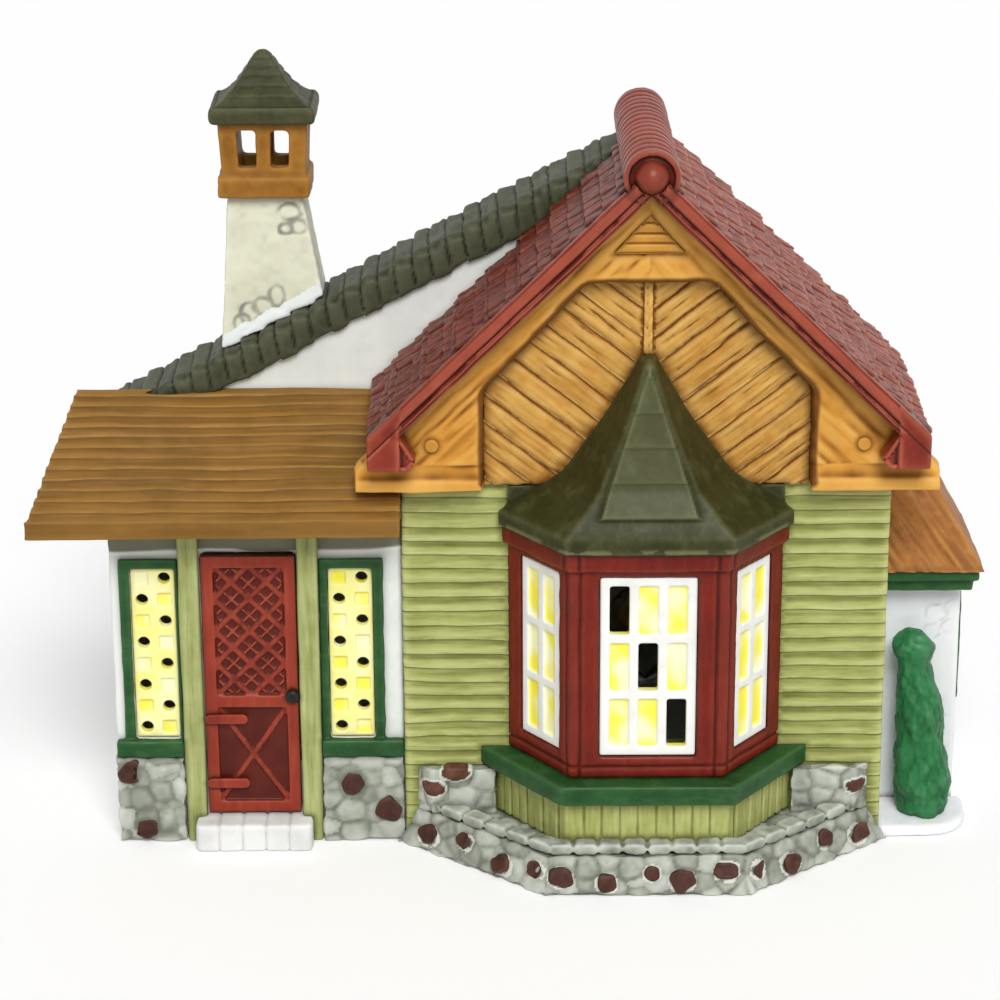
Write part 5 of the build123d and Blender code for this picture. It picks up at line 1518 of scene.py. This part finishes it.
    def castings(self) -> list[Casting]:
        """The roof, front, windows, door, step and dado.

        Returns:
            The castings in order.
        """
        lights = []
        for side in Side:
            lights += [
                Casting(f"entry_frame_{side.value}", GREEN_TRIM, 0.38, 3, HAND_CUT),
                Casting(f"entry_window_{side.value}", self.LATTICE, 0.26, 1, outward=FRONT),
            ]
        roof_grain = uneven((0.2, (20.0, 1.4, 1.4), 18))
        upright = uneven((self.grain_depth, (1.2, 3.0, 15.0), 19))
        level = uneven((self.grain_depth, (15.0, 3.0, 1.2), 20))
        return [
            Casting("entry_roof", self.ROOF, 0.5, 3, roof_grain, self.roof_sway, self.roof_rows),
            Casting("entry_front", self.PLASTER, 0.7, 2, HAND_CUT, tone=self.eave_shade_band),
            Casting("entry_posts", self.POST, 0.36, 2, upright),
            Casting("entry_header", self.POST, 0.45, 2, level),
            *lights,
            Casting("front_door", self.DOOR, 0.28, 3, self.door_grain, outward=FRONT),
            Casting("door_hinges", self.DOOR, 0.22, 2),
            Casting("door_latch", self.LATCH, 0.2, 2),
            Casting("door_step", self.STEP, 0.4, 3, HAND_CUT),
            Casting("entry_dado", self.STONE, 0.45, 3, self.cobbles.relief, tone=self.cobbles.tone),
        ]


@dataclass
class Bay(Assembly):
    """The red bay window under its bell-cast roof, with its sill and fluted apron.

    Attributes:
        tip_z: Height of the roof's tip.
        plate_z: Height of the foot of its front plate.
        plate_taper: How fast the plate widens downwards, as a slope.
        course: Height of a course of the plate.
        eave_z: Height of the roof's worn rim.
        corner: Distance from the middle and depth of a corner of the bay.
        post: Distance of a post's groove from its corner.
        rail_z: Height of the groove along the foot rail.
        groove: Width of these grooves.
        groove_depth: Depth of these grooves.
        front_y: The front of the roof lies before this.
        rim_y: The worn part of the rim lies before this.
    """

    tip_z: float = 114.5
    plate_z: float = 83.0
    plate_taper: float = 0.335
    course: float = 7.2
    eave_z: float = 76.6
    corner: tuple[float, float] = (16.5, -18.0)
    post: float = 1.9
    rail_z: float = 26.2
    groove: float = 0.34
    groove_depth: float = 0.5
    front_y: float = -6.0
    rim_y: float = -4.0

    ROOF = StonePaint(
        "olive_roof", (54, 55, 26), (46, 47, 20), (24, 25, 8), (126, 128, 90), 0.8, 0.4,
        grain=(4, 4, 8), grain_share=0.12, blotch=8, roughness=0.46,
    )
    FRAME = BisquePaint(
        "red_bay_frame", (115, 28, 14), (101, 22, 10), (46, 8, 3), (152, 66, 46), 0.85, 0.5,
        grain=(2, 2, 10), grain_share=0.15, roughness=0.42, coat=0.1,
    )
    APRON = BisquePaint(
        "fluted_apron", (174, 178, 108), (158, 163, 92), (84, 88, 32), (204, 206, 144), 0.95, 0.45,
        grain=(1, 1, 8), grain_share=0.3,
    )

    def roof_relief(self, face: Surface) -> Array:
        """The raised front plate of the roof with its edges and lapped courses.

        Args:
            face: The piece's surface.

        Returns:
            The heights.
        """
        half, plate = self.front_plate(face)
        edge = ridge(np.abs(face.x) - half, 0.55) * (face.z > self.plate_z)
        lap = np.mod((face.z - self.plate_z) / self.course + 0.06 * face.patchy((7.0, 9.0, 30.0), 25), 1.0)
        raised = plate * (0.45 + 0.3 * (1 - lap) ** 2) + 0.3 * edge * (face.y < self.front_y)
        return raised + 0.2 * face.patchy(6.0, 26) + 0.08 * face.patchy(1.8, 29)

    def front_plate(self, face: Surface) -> tuple[Array, Array]:
        """The tapering plate on the front of the roof.

        Args:
            face: The piece's surface.

        Returns:
            Its half width at each place's height, and 1 on the plate.
        """
        half = self.plate_taper * (self.tip_z - face.z)
        within = np.clip((half - np.abs(face.x)) / 0.5, 0, 1) * np.clip((face.z - self.plate_z) / 0.5, 0, 1)
        return half, within * (face.y < self.front_y)

    def plate_tone(self, face: Surface) -> Array:
        """A lighter plate on the dark roof, and a worn rim."""
        rim = ridge(face.z - self.eave_z, 0.8) * (face.patchy((6.0, 6.0, 3.0), 30) > -0.15)
        return 0.5 + 0.2 * self.front_plate(face)[1] + 0.36 * rim * (face.y < self.rim_y)

    def mouldings(self, face: Surface) -> Array:
        """Grooves along the corner posts and the foot rail.

        Args:
            face: The piece's surface.

        Returns:
            The heights.
        """
        wave = 0.2 * face.patchy(6.0, 61)
        corner = np.hypot(np.abs(face.x) - self.corner[0], face.y - self.corner[1])
        post = ridge(corner - self.post + wave, self.groove)
        rail = ridge(face.z - self.rail_z + wave, self.groove)
        out = face.frontal(0.2) & (np.abs(face.normals[:, 2]) < 0.6)
        return FINE_CUT(face) - self.groove_depth * np.maximum(post, 0.8 * rail) * out

    def castings(self) -> list[Casting]:
        """The roof, frame, sill, apron and windows.

        Returns:
            The castings in order.
        """
        looks = {"front": FRONT, "left": (-0.8, -0.6, 0.0), "right": (0.8, -0.6, 0.0)}
        return [
            Casting("bay_roof", self.ROOF, 0.42, 10, self.roof_relief, tone=self.plate_tone),
            Casting("bay_frame", self.FRAME, 0.42, 3, self.mouldings, spread=8),
            Casting("bay_sill", GREEN_TRIM, 0.45, 4, FINE_CUT),
            Casting("bay_apron", self.APRON, 0.34, 1, FINE_CUT, spread=8, full_relief=0.12),
            *(Casting(f"bay_window_{side}", PANES, 0.28, 4, outward=look) for side, look in looks.items()),
        ]


@dataclass
class Plinth(Assembly):
    """The cobbled plinth with its kerb, dado and brown stones.

    Attributes:
        cobbles: Cobbles of the plinth and the bay's dado.
        rim: Width of bare clay round a brown stone.
        corner_x: Left of this, stones are drawn in to the corner of the entry.
        dado_stones: Middle x, middle z, half width and half height of the brown stones of the bay's dado.
        stone_places: A search tree of the brown stones' surface, filled while building.
    """

    cobbles: Cobbles = Cobbles((5.4, 5.4, 4.6), 31, 0.9, 0.65, 2.0)
    rim: float = 0.55
    corner_x: float = -113.0
    dado_stones: Ovals = ((-41.6, 18.2, 2.9, 2.2), (-46.6, 14.2, 2.6, 1.8), (47.2, 14.4, 2.3, 1.8))
    stone_places: kdtree.KDTree | None = None

    def cobble_tone(self, face: Surface) -> Array:
        """Each cobble's own grey, and 2 where a brown stone's rim is left bare.

        Args:
            face: The piece's surface.

        Returns:
            The tones.
        """
        tone = self.cobbles.tone(face)
        near = np.array([self.stone_places.find(point)[2] for point in face.points])
        ragged = self.rim * (0.7 + 0.9 * face.patchy(2.2, 35))
        return np.where(near < ragged, 2.0, tone)

    def set_stones(self, face: Surface) -> Array:
        """How far each place is from the brown stones of the bay's dado.

        Args:
            face: The piece's surface.

        Returns:
            1 at a stone's outline, less inside it.
        """
        wobble = 1 + 0.3 * face.patchy((2.4, 9.0, 2.4), 62)
        reaches = [np.hypot((face.x - x) / w, (face.z - z) / h) * wobble for x, z, w, h in self.dado_stones]
        return np.minimum.reduce(reaches)

    def dado_relief(self, face: Surface) -> Array:
        """Cobbles of the bay's dado, with its brown stones raised."""
        stone = np.clip(1.3 - self.set_stones(face), 0, 0.6) / 0.6
        return self.cobbles.relief(face) * (1 - stone) + 0.35 * stone

    def dado_tone(self, face: Surface) -> Array:
        """Grey cobbles, brown stones at -1 and bare clay round them at 2.

        Args:
            face: The piece's surface.

        Returns:
            The tones.
        """
        reach = self.set_stones(face)
        tone = np.where(reach < 1.22, 2.0, self.cobbles.tone(face))
        return np.where(reach < 1.0, -1.0, tone)

    def ragged(self, face: Surface) -> Array:
        """Makes field stones that are nowhere round.

        Args:
            face: The piece's surface.

        Returns:
            The shifts.
        """
        shift = 1.15 * np.stack([face.patchy(3.2, 36 + axis) for axis in range(3)], axis=1)
        shift[:, 1] = 0.8 + 0.2 * shift[:, 1]
        shift[:, 0] += np.where(face.x < self.corner_x, 1.1, 0.0)
        return shift

    def kerb_tone(self, face: Surface) -> Array:
        """Kerb stones of differing grey."""
        return 0.5 + 0.6 * face.patchy((4.0, 4.0, 40.0), 34)

    def castings(self) -> list[Casting]:
        """The plinth, dado, kerb and brown stones.

        Returns:
            The castings in order.
        """
        return [
            Casting("plinth", Entry.STONE, 0.5, 3, self.cobbles.relief, tone=self.cobble_tone),
            Casting("bay_dado", Entry.STONE, 0.4, 3, self.dado_relief, tone=self.dado_tone),
            Casting("kerb_stones", Entry.STONE, 0.34, 3, CHIPPED, tone=self.kerb_tone),
            Casting("plinth_stones", Entry.COBBLE, 0.3, 4, CHIPPED, self.ragged),
            Casting("entry_stones", Entry.COBBLE, 0.3, 4, CHIPPED, self.ragged),
        ]

    def build(self, frame: dict[str, Any]) -> None:
        """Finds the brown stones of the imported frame, then makes the castings."""
        self.stone_places = search_tree([vertex.co / MM for vertex in frame["nodes"]["plinth_stones"].data.vertices])
        super().build(frame)


@dataclass
class LeanTo(Assembly):
    """The right-hand lean-to with its shrub on a pad of snow.

    Attributes:
        leaf: Size of a leaf of the shrub.
        stones: Middle x, middle z, half width and half height of stones that show in the plaster.
        grain_turn: Lean in degrees of the roof's boards.
        board: Width of one of them.
        knob_z: Height of the knob at the shrub's top.
        tip_x: How far the shrub's tip leans to the house.
        tip_from_z: Height from which it leans.
        tip_over: Height over which it leans.
        line: Width of the stones' outlines.
        line_depth: Depth of these outlines.
    """

    leaf: Triple = (2.8, 2.8, 3.6)
    stones: Ovals = (
        (66.2, 47.5, 2.4, 1.9), (69.3, 44.2, 2.0, 2.0), (65.4, 43.0, 1.9, 1.7), (69.6, 49.0, 1.8, 1.5),
        (68.6, 21.0, 2.2, 1.7), (69.8, 16.6, 1.7, 1.9),
    )
    grain_turn: float = 52.0
    board: float = 4.4
    knob_z: float = 43.0
    tip_x: float = 4.5
    tip_from_z: float = 12.0
    tip_over: float = 37.0
    line: float = 0.38
    line_depth: float = 0.3

    ROOF = BisquePaint(
        "brown_hip", (160, 103, 42), (142, 86, 32), (84, 46, 13), (198, 146, 80), 0.85, 0.6,
        grain=(3, 3, 3), grain_share=0.25, blotch=8,
    )
    WALL = BisquePaint(
        "plastered_stone", (232, 233, 233), (222, 224, 226), (112, 112, 112), (240, 240, 238), 0.85, 0.4,
        grain_share=0.06,
    )
    LEAVES = BisquePaint(
        "shrub_leaves", (38, 110, 60), (28, 94, 48), (10, 58, 28), (92, 152, 110), 0.8, 0.5,
        grain_share=0.2, blotch=5, roughness=0.46, coat=0.1,
    )
    SNOW = BisquePaint(
        "snow_pad", (238, 239, 240), (230, 232, 235), (188, 192, 198), (244, 244, 244), 0.5, 0.3, grain_share=0.05
    )

    def boards(self, face: Surface) -> Array:
        """Diagonal boards of the hipped roof.

        Args:
            face: The piece's surface.

        Returns:
            The heights.
        """
        turn = math.radians(self.grain_turn)
        along = face.x * math.cos(turn) - face.z * math.sin(turn)
        across = face.x * math.sin(turn) + face.z * math.cos(turn)
        place = np.stack([along, across, face.y], axis=1)
        joint = ridge(np.mod(across / self.board, 1.0) - 0.5, 0.09)
        return 0.4 * patchy(place, (11.0, 1.1, 9.0), 41) - 0.1 * joint

    def plaster(self, face: Surface) -> Array:
        """Plaster with a few stones showing on its front."""
        line = face.outlines(self.stones, self.line) * face.frontal(0.4)
        return 0.12 * face.patchy(8.0, 42) - self.line_depth * line * (0.6 + 0.6 * face.patchy(2.5, 62))

    def leaves(self, face: Surface) -> Array:
        """Leaves heaped on the shrub.

        Args:
            face: The piece's surface.

        Returns:
            The heights.
        """
        dome, tone = pebbled(face.points, self.leaf, 43)
        heaps = 1.3 * face.patchy((6.0, 6.0, 7.0), 44) + 0.55 * face.patchy((1.7, 1.7, 3.4), 46)
        return heaps + 0.22 * dome + 0.35 * (tone - 0.5) - 0.3

    def lean(self, face: Surface) -> Array:
        """Shapes the shrub's tip, a blunt knob over a neck, which leans to the house.

        Args:
            face: The piece's surface.

        Returns:
            The shifts.
        """
        height = face.z
        axis = face.points[height > self.knob_z - 6, :2].mean(axis=0)
        knob = 0.5 * ridge(height - self.knob_z - 1, 3.2)
        neck = -0.12 * ridge(height - self.knob_z + 6, 3.0)
        waist = -0.14 * ridge(height - 0.45 * self.knob_z, 5.0)
        swell = knob + neck + waist
        tip = self.tip_x * np.clip((height - self.tip_from_z) / self.tip_over, 0, 1) ** 1.3
        blunt = -0.55 * np.clip(height - self.knob_z - 2.5, 0, None)
        return face.shift((face.x - axis[0]) * swell - tip, (face.y - axis[1]) * swell, blunt)

    def castings(self) -> list[Casting]:
        """The walls, roof, window, shrub and snow.

        Returns:
            The castings in order.
        """
        return [
            Casting("main_right_wall", WHITE, 0.9, 2, PLASTERED),
            Casting("leanto_walls", self.WALL, 0.6, 2, self.plaster),
            Casting("leanto_roof", self.ROOF, 0.5, 3, self.boards),
            Casting("leanto_fascia", GREEN_TRIM, 0.4, 14, HAND_CUT),
            Casting("leanto_window_frame", GREEN_TRIM, 0.38, 3, HAND_CUT),
            Casting("leanto_window", PANES, 0.28, 1, outward=(1.0, 0.0, 0.0)),
            Casting("shrub", self.LEAVES, 0.42, 6, self.leaves, self.lean, spread=12, full_relief=0.35),
            Casting("snow_pad", self.SNOW, 0.5, 4, uneven((0.35, 5.0, 45))),
        ]


@dataclass
class Chimney(Assembly):
    """The plastered stack, its open lantern and tiled cap.

    Attributes:
        stones: Middle x, middle z, half width and half height of stones that show in the plaster.
        middle: Middle of the cap in plan.
        rim_z: Height of the top of the cap's rim.
        tip_z: Height of the cap's tip.
        lap: Height of a lap of the cap.
        band_z: Height of the top of the lantern's band.
        foot_z: Height of the white band's top under the cap's middle.
        draw_in: How far the cap is drawn in, as a part of its width.
        widen: How far the lantern widens, as a part of its width.
        line: Width of the stones' outlines.
        line_depth: Depth of these outlines.
        stroke: Width of the dark strokes along them.
    """

    middle: tuple[float, float] = (-82.75, 39.75)
    rim_z: float = 160.2
    tip_z: float = 171.5
    lap: float = 1.9
    band_z: float = 144.6
    foot_z: float = 114.0
    draw_in: float = 0.17
    widen: float = 0.09
    line: float = 0.5
    line_depth: float = 0.4
    stroke: float = 0.6
    stones: Ovals = (
        (-77.6, 136.6, 2.4, 1.8), (-75.4, 133.0, 1.9, 1.6), (-78.4, 132.6, 1.6, 1.3),
        (-86.8, 113.4, 1.8, 2.3), (-83.6, 115.2, 2.0, 1.7), (-80.6, 117.4, 1.6, 2.6), (-88.6, 111.2, 1.7, 1.8),
    )

    STACK = StonePaint(
        "plastered_stack", (220, 221, 197), (212, 212, 187), (112, 112, 104), (238, 237, 222), 0.85, 0.4,
        grain_share=0.08, rim=(232, 237, 236),
    )
    LANTERN = BisquePaint(
        "ochre_lantern", (154, 104, 38), (138, 90, 28), (76, 44, 8), (186, 138, 64), 0.85, 0.5, grain_share=0.2,
    )
    CAP = BisquePaint(
        "olive_cap", (60, 61, 36), (50, 51, 28), (22, 23, 10), (98, 98, 68), 0.85, 0.5, grain_share=0.25, blotch=5,
    )

    def stucco(self, face: Surface) -> Array:
        """Stucco pitted by the trowel, with a few stones showing on its front."""
        line = face.outlines(self.stones, self.line) * face.frontal(0.4)
        return 0.12 * face.patchy(2.4, 51) + 0.2 * face.patchy(7.0, 52) - self.line_depth * line

    def rings(self, face: Surface) -> Array:
        """Fine laps round the cap.

        Args:
            face: The piece's surface.

        Returns:
            The heights.
        """
        part = np.mod((face.z - self.rim_z) / self.lap + 0.12 * face.patchy((4.0, 4.0, 9.0), 54), 1.0)
        lap = np.where(face.z > self.rim_z, 0.16 * (1 - part) - 0.26 * ridge(part, 0.16), 0.45)
        return lap + 0.12 * face.patchy(2.4, 55)

    def bell(self, face: Surface) -> Array:
        """Draws the cap in between its rim and its tip.

        Args:
            face: The piece's surface.

        Returns:
            The shifts.
        """
        rise = np.clip((face.z - self.rim_z) / (self.tip_z - self.rim_z), 0, 1)
        pull = -self.draw_in * np.sin(np.pi * rise**0.8)
        return face.shift((face.x - self.middle[0]) * pull, (face.y - self.middle[1]) * pull)

    def flare(self, face: Surface) -> Array:
        """Widens the lantern towards the cap."""
        rise = np.clip((face.z - self.band_z) / (self.rim_z - self.band_z), 0, 1)
        return face.shift((face.x - self.middle[0]) * self.widen * rise)

    def foot_tone(self, face: Surface) -> Array:
        """A whiter band where the stack meets the slope, and dark strokes round the stones.

        Args:
            face: The piece's surface.

        Returns:
            The tones.
        """
        slope = self.foot_z + (face.x - self.middle[0]) * math.tan(math.radians(LeftWing.pitch))
        stroke = 0.5 - 0.75 * face.outlines(self.stones, self.stroke) * face.frontal(0.4)
        return np.where(face.z < slope + 0.8 * face.patchy(3.0, 56), 2.0, stroke)

    def castings(self) -> list[Casting]:
        """The stack, lantern and cap.

        Returns:
            The castings in order.
        """
        return [
            Casting("chimney_stack", self.STACK, 0.45, 5, self.stucco, tone=self.foot_tone),
            Casting("chimney_lantern", self.LANTERN, 0.38, 8, uneven((0.18, 2.6, 53)), self.flare),
            Casting("chimney_cap", self.CAP, 0.36, 18, self.rings, self.bell),
        ]


@dataclass
class Lamp(Assembly):
    """The bought-in clip lamp and its bulb, which keep their CAD shapes."""

    FINISHES: ClassVar[dict[LampFinish, tuple[str, ...]]] = {
        LampFinish("moulded_holder", (222, 218, 206), (206, 200, 184), 0.5): ("lamp_holder",),
        LampFinish("spring_steel", (172, 174, 178), (128, 130, 134), 0.35, 1.0, scuff=(0.6, 5.0, 0.6)): (
            "lamp_clip", "filament",
        ),
        LampFinish("drawn_brass", (206, 170, 96), (156, 120, 58), 0.3, 1.0, scuff=(4.0, 0.5, 4.0)): (
            "screw_shell", "centre_contact", "bulb_base", "bulb_tip",
        ),
        LampFinish("clear_glass", (246, 246, 242), (236, 236, 232), 0.12, 0.0, 1.0): ("bulb_glass", "bulb_stem"),
    }

    def build(self, frame: dict[str, Any]) -> None:
        """Dresses the lamp's nodes.

        Args:
            frame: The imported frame.
        """
        for finish, nodes in self.FINISHES.items():
            material = finish.material()
            for node in nodes:
                slots = frame["nodes"][node].material_slots
                for slot in slots:
                    slot.material = material
                LOG.info("%s: %s", node, finish.name)


@dataclass
class Studio:
    """Pale floor, soft light and the camera at the photograph's angle.

    Attributes:
        eye: The camera's place.
        tilt: How far it looks down, in degrees.
        roll: How far it leans to one side, in degrees.
        lens: Focal length.
        sky: Strength of the even light.
        sun: Strength of the soft main light.
        sun_from: Direction the main light comes from.
        softness: Angle in degrees that the main light fills, which softens its shadow.
        glow: How much the floor is lifted towards white where it is seen, in glass and reflections too.
        floor: Colour of the floor.
        floor_tint: Second tone of the floor.
        floor_blotch: Size of the floor's blotches.
        floor_size: Width in metres of the floor.
        floor_gap: Gap in metres between the object's foot and the floor.
        sensor: Width of the camera's sensor.
    """

    eye: Triple = (-31.5, -648.4, 317.2)
    tilt: float = 20.0
    roll: float = -0.3
    lens: float = 115.2
    sky: float = 0.42
    sun: float = 2.5
    sun_from: Triple = (0.12, -0.85, 0.85)
    softness: float = 28.0
    glow: float = 0.12
    floor: Triple = (243, 243, 243)
    floor_tint: Triple = (238, 238, 238)
    floor_blotch: float = 220.0
    floor_size: float = 12.0
    floor_gap: float = 0.0002
    sensor: float = 36.0

    SHOWN: ClassVar[tuple[str, ...]] = ("Is Camera Ray", "Is Glossy Ray", "Is Transmission Ray")

    def build(self) -> None:
        """Sets up floor, lights, world and camera."""
        self.lay_floor()
        self.hang_light()
        self.set_camera()

    def lay_floor(self) -> None:
        """Lays a wide floor that keeps the object's shadow."""
        bpy.ops.object.select_all(action="DESELECT")
        bpy.ops.mesh.primitive_plane_add(size=self.floor_size, location=(0, 0, -self.floor_gap))
        floor = bpy.context.object
        floor.name = "studio_floor"
        recipe = Recipe("studio_floor")
        tone = recipe.mix(recipe.noise(self.floor_blotch) * 0.3, self.floor, self.floor_tint)
        matt = recipe.node("ShaderNodeBsdfDiffuse", {}, {"Color": tone})
        shown = [recipe.node("ShaderNodeLightPath", out=kind) for kind in self.SHOWN]
        seen = (shown[0] + shown[1] + shown[2]).lowest(1.0) * self.glow
        lift = recipe.node("ShaderNodeEmission", {}, {"Color": (1.0, 1.0, 1.0, 1.0), "Strength": seen})
        floor.data.materials.append(recipe.finish(recipe.node("ShaderNodeAddShader", {}, {0: matt, 1: lift})))

    def hang_light(self) -> None:
        """Hangs the soft main light and sets the even sky."""
        light = bpy.data.lights.new("main_light", "SUN")
        light.energy = self.sun
        light.angle = math.radians(self.softness)
        lamp = bpy.data.objects.new("main_light", light)
        lamp.rotation_euler = (-Vector(self.sun_from)).to_track_quat("-Z", "Y").to_euler()
        bpy.context.scene.collection.objects.link(lamp)
        world = bpy.data.worlds.new("studio")
        world.use_nodes = True
        tree = world.node_tree
        background = tree.nodes["Background"]
        background.inputs["Color"].default_value = (1.0, 1.0, 1.0, 1.0)
        rays = tree.nodes.new("ShaderNodeLightPath")
        seen = tree.nodes.new("ShaderNodeMix")
        shown = rays.outputs[self.SHOWN[0]]
        for kind in self.SHOWN[1:]:
            total = tree.nodes.new("ShaderNodeMath")
            total.use_clamp = True
            tree.links.new(shown, total.inputs[0])
            tree.links.new(rays.outputs[kind], total.inputs[1])
            shown = total.outputs[0]
        tree.links.new(shown, seen.inputs[0])
        seen.inputs[2].default_value, seen.inputs[3].default_value = self.sky, 1.0
        tree.links.new(seen.outputs[0], background.inputs["Strength"])
        bpy.context.scene.world = world

    def set_camera(self) -> None:
        """Puts the camera where the photograph was taken."""
        lens = bpy.data.cameras.new("camera")
        lens.lens = self.lens
        lens.sensor_width = self.sensor
        lens.clip_start = 0.01
        camera = bpy.data.objects.new("camera", lens)
        camera.location = Vector(self.eye) * MM
        level = Euler((math.radians(90 - self.tilt), 0.0, 0.0)).to_matrix()
        camera.rotation_euler = (level @ Matrix.Rotation(math.radians(self.roll), 3, "Z")).to_euler()
        bpy.context.scene.collection.objects.link(camera)
        bpy.context.scene.camera = camera
        bpy.context.scene.view_settings.view_transform = "Standard"


def main() -> None:
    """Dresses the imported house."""
    logging.basicConfig(level=logging.INFO, format="%(name)s %(message)s")
    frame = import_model()
    for assembly in (Gable(), RedRoof(), LeftWing(), Entry(), Bay(), Plinth(), LeanTo(), Chimney(), Lamp()):
        LOG.info("building %s", type(assembly).__name__)
        assembly.build(frame)
    Studio().build()


if __name__ == "__main__":
    main()
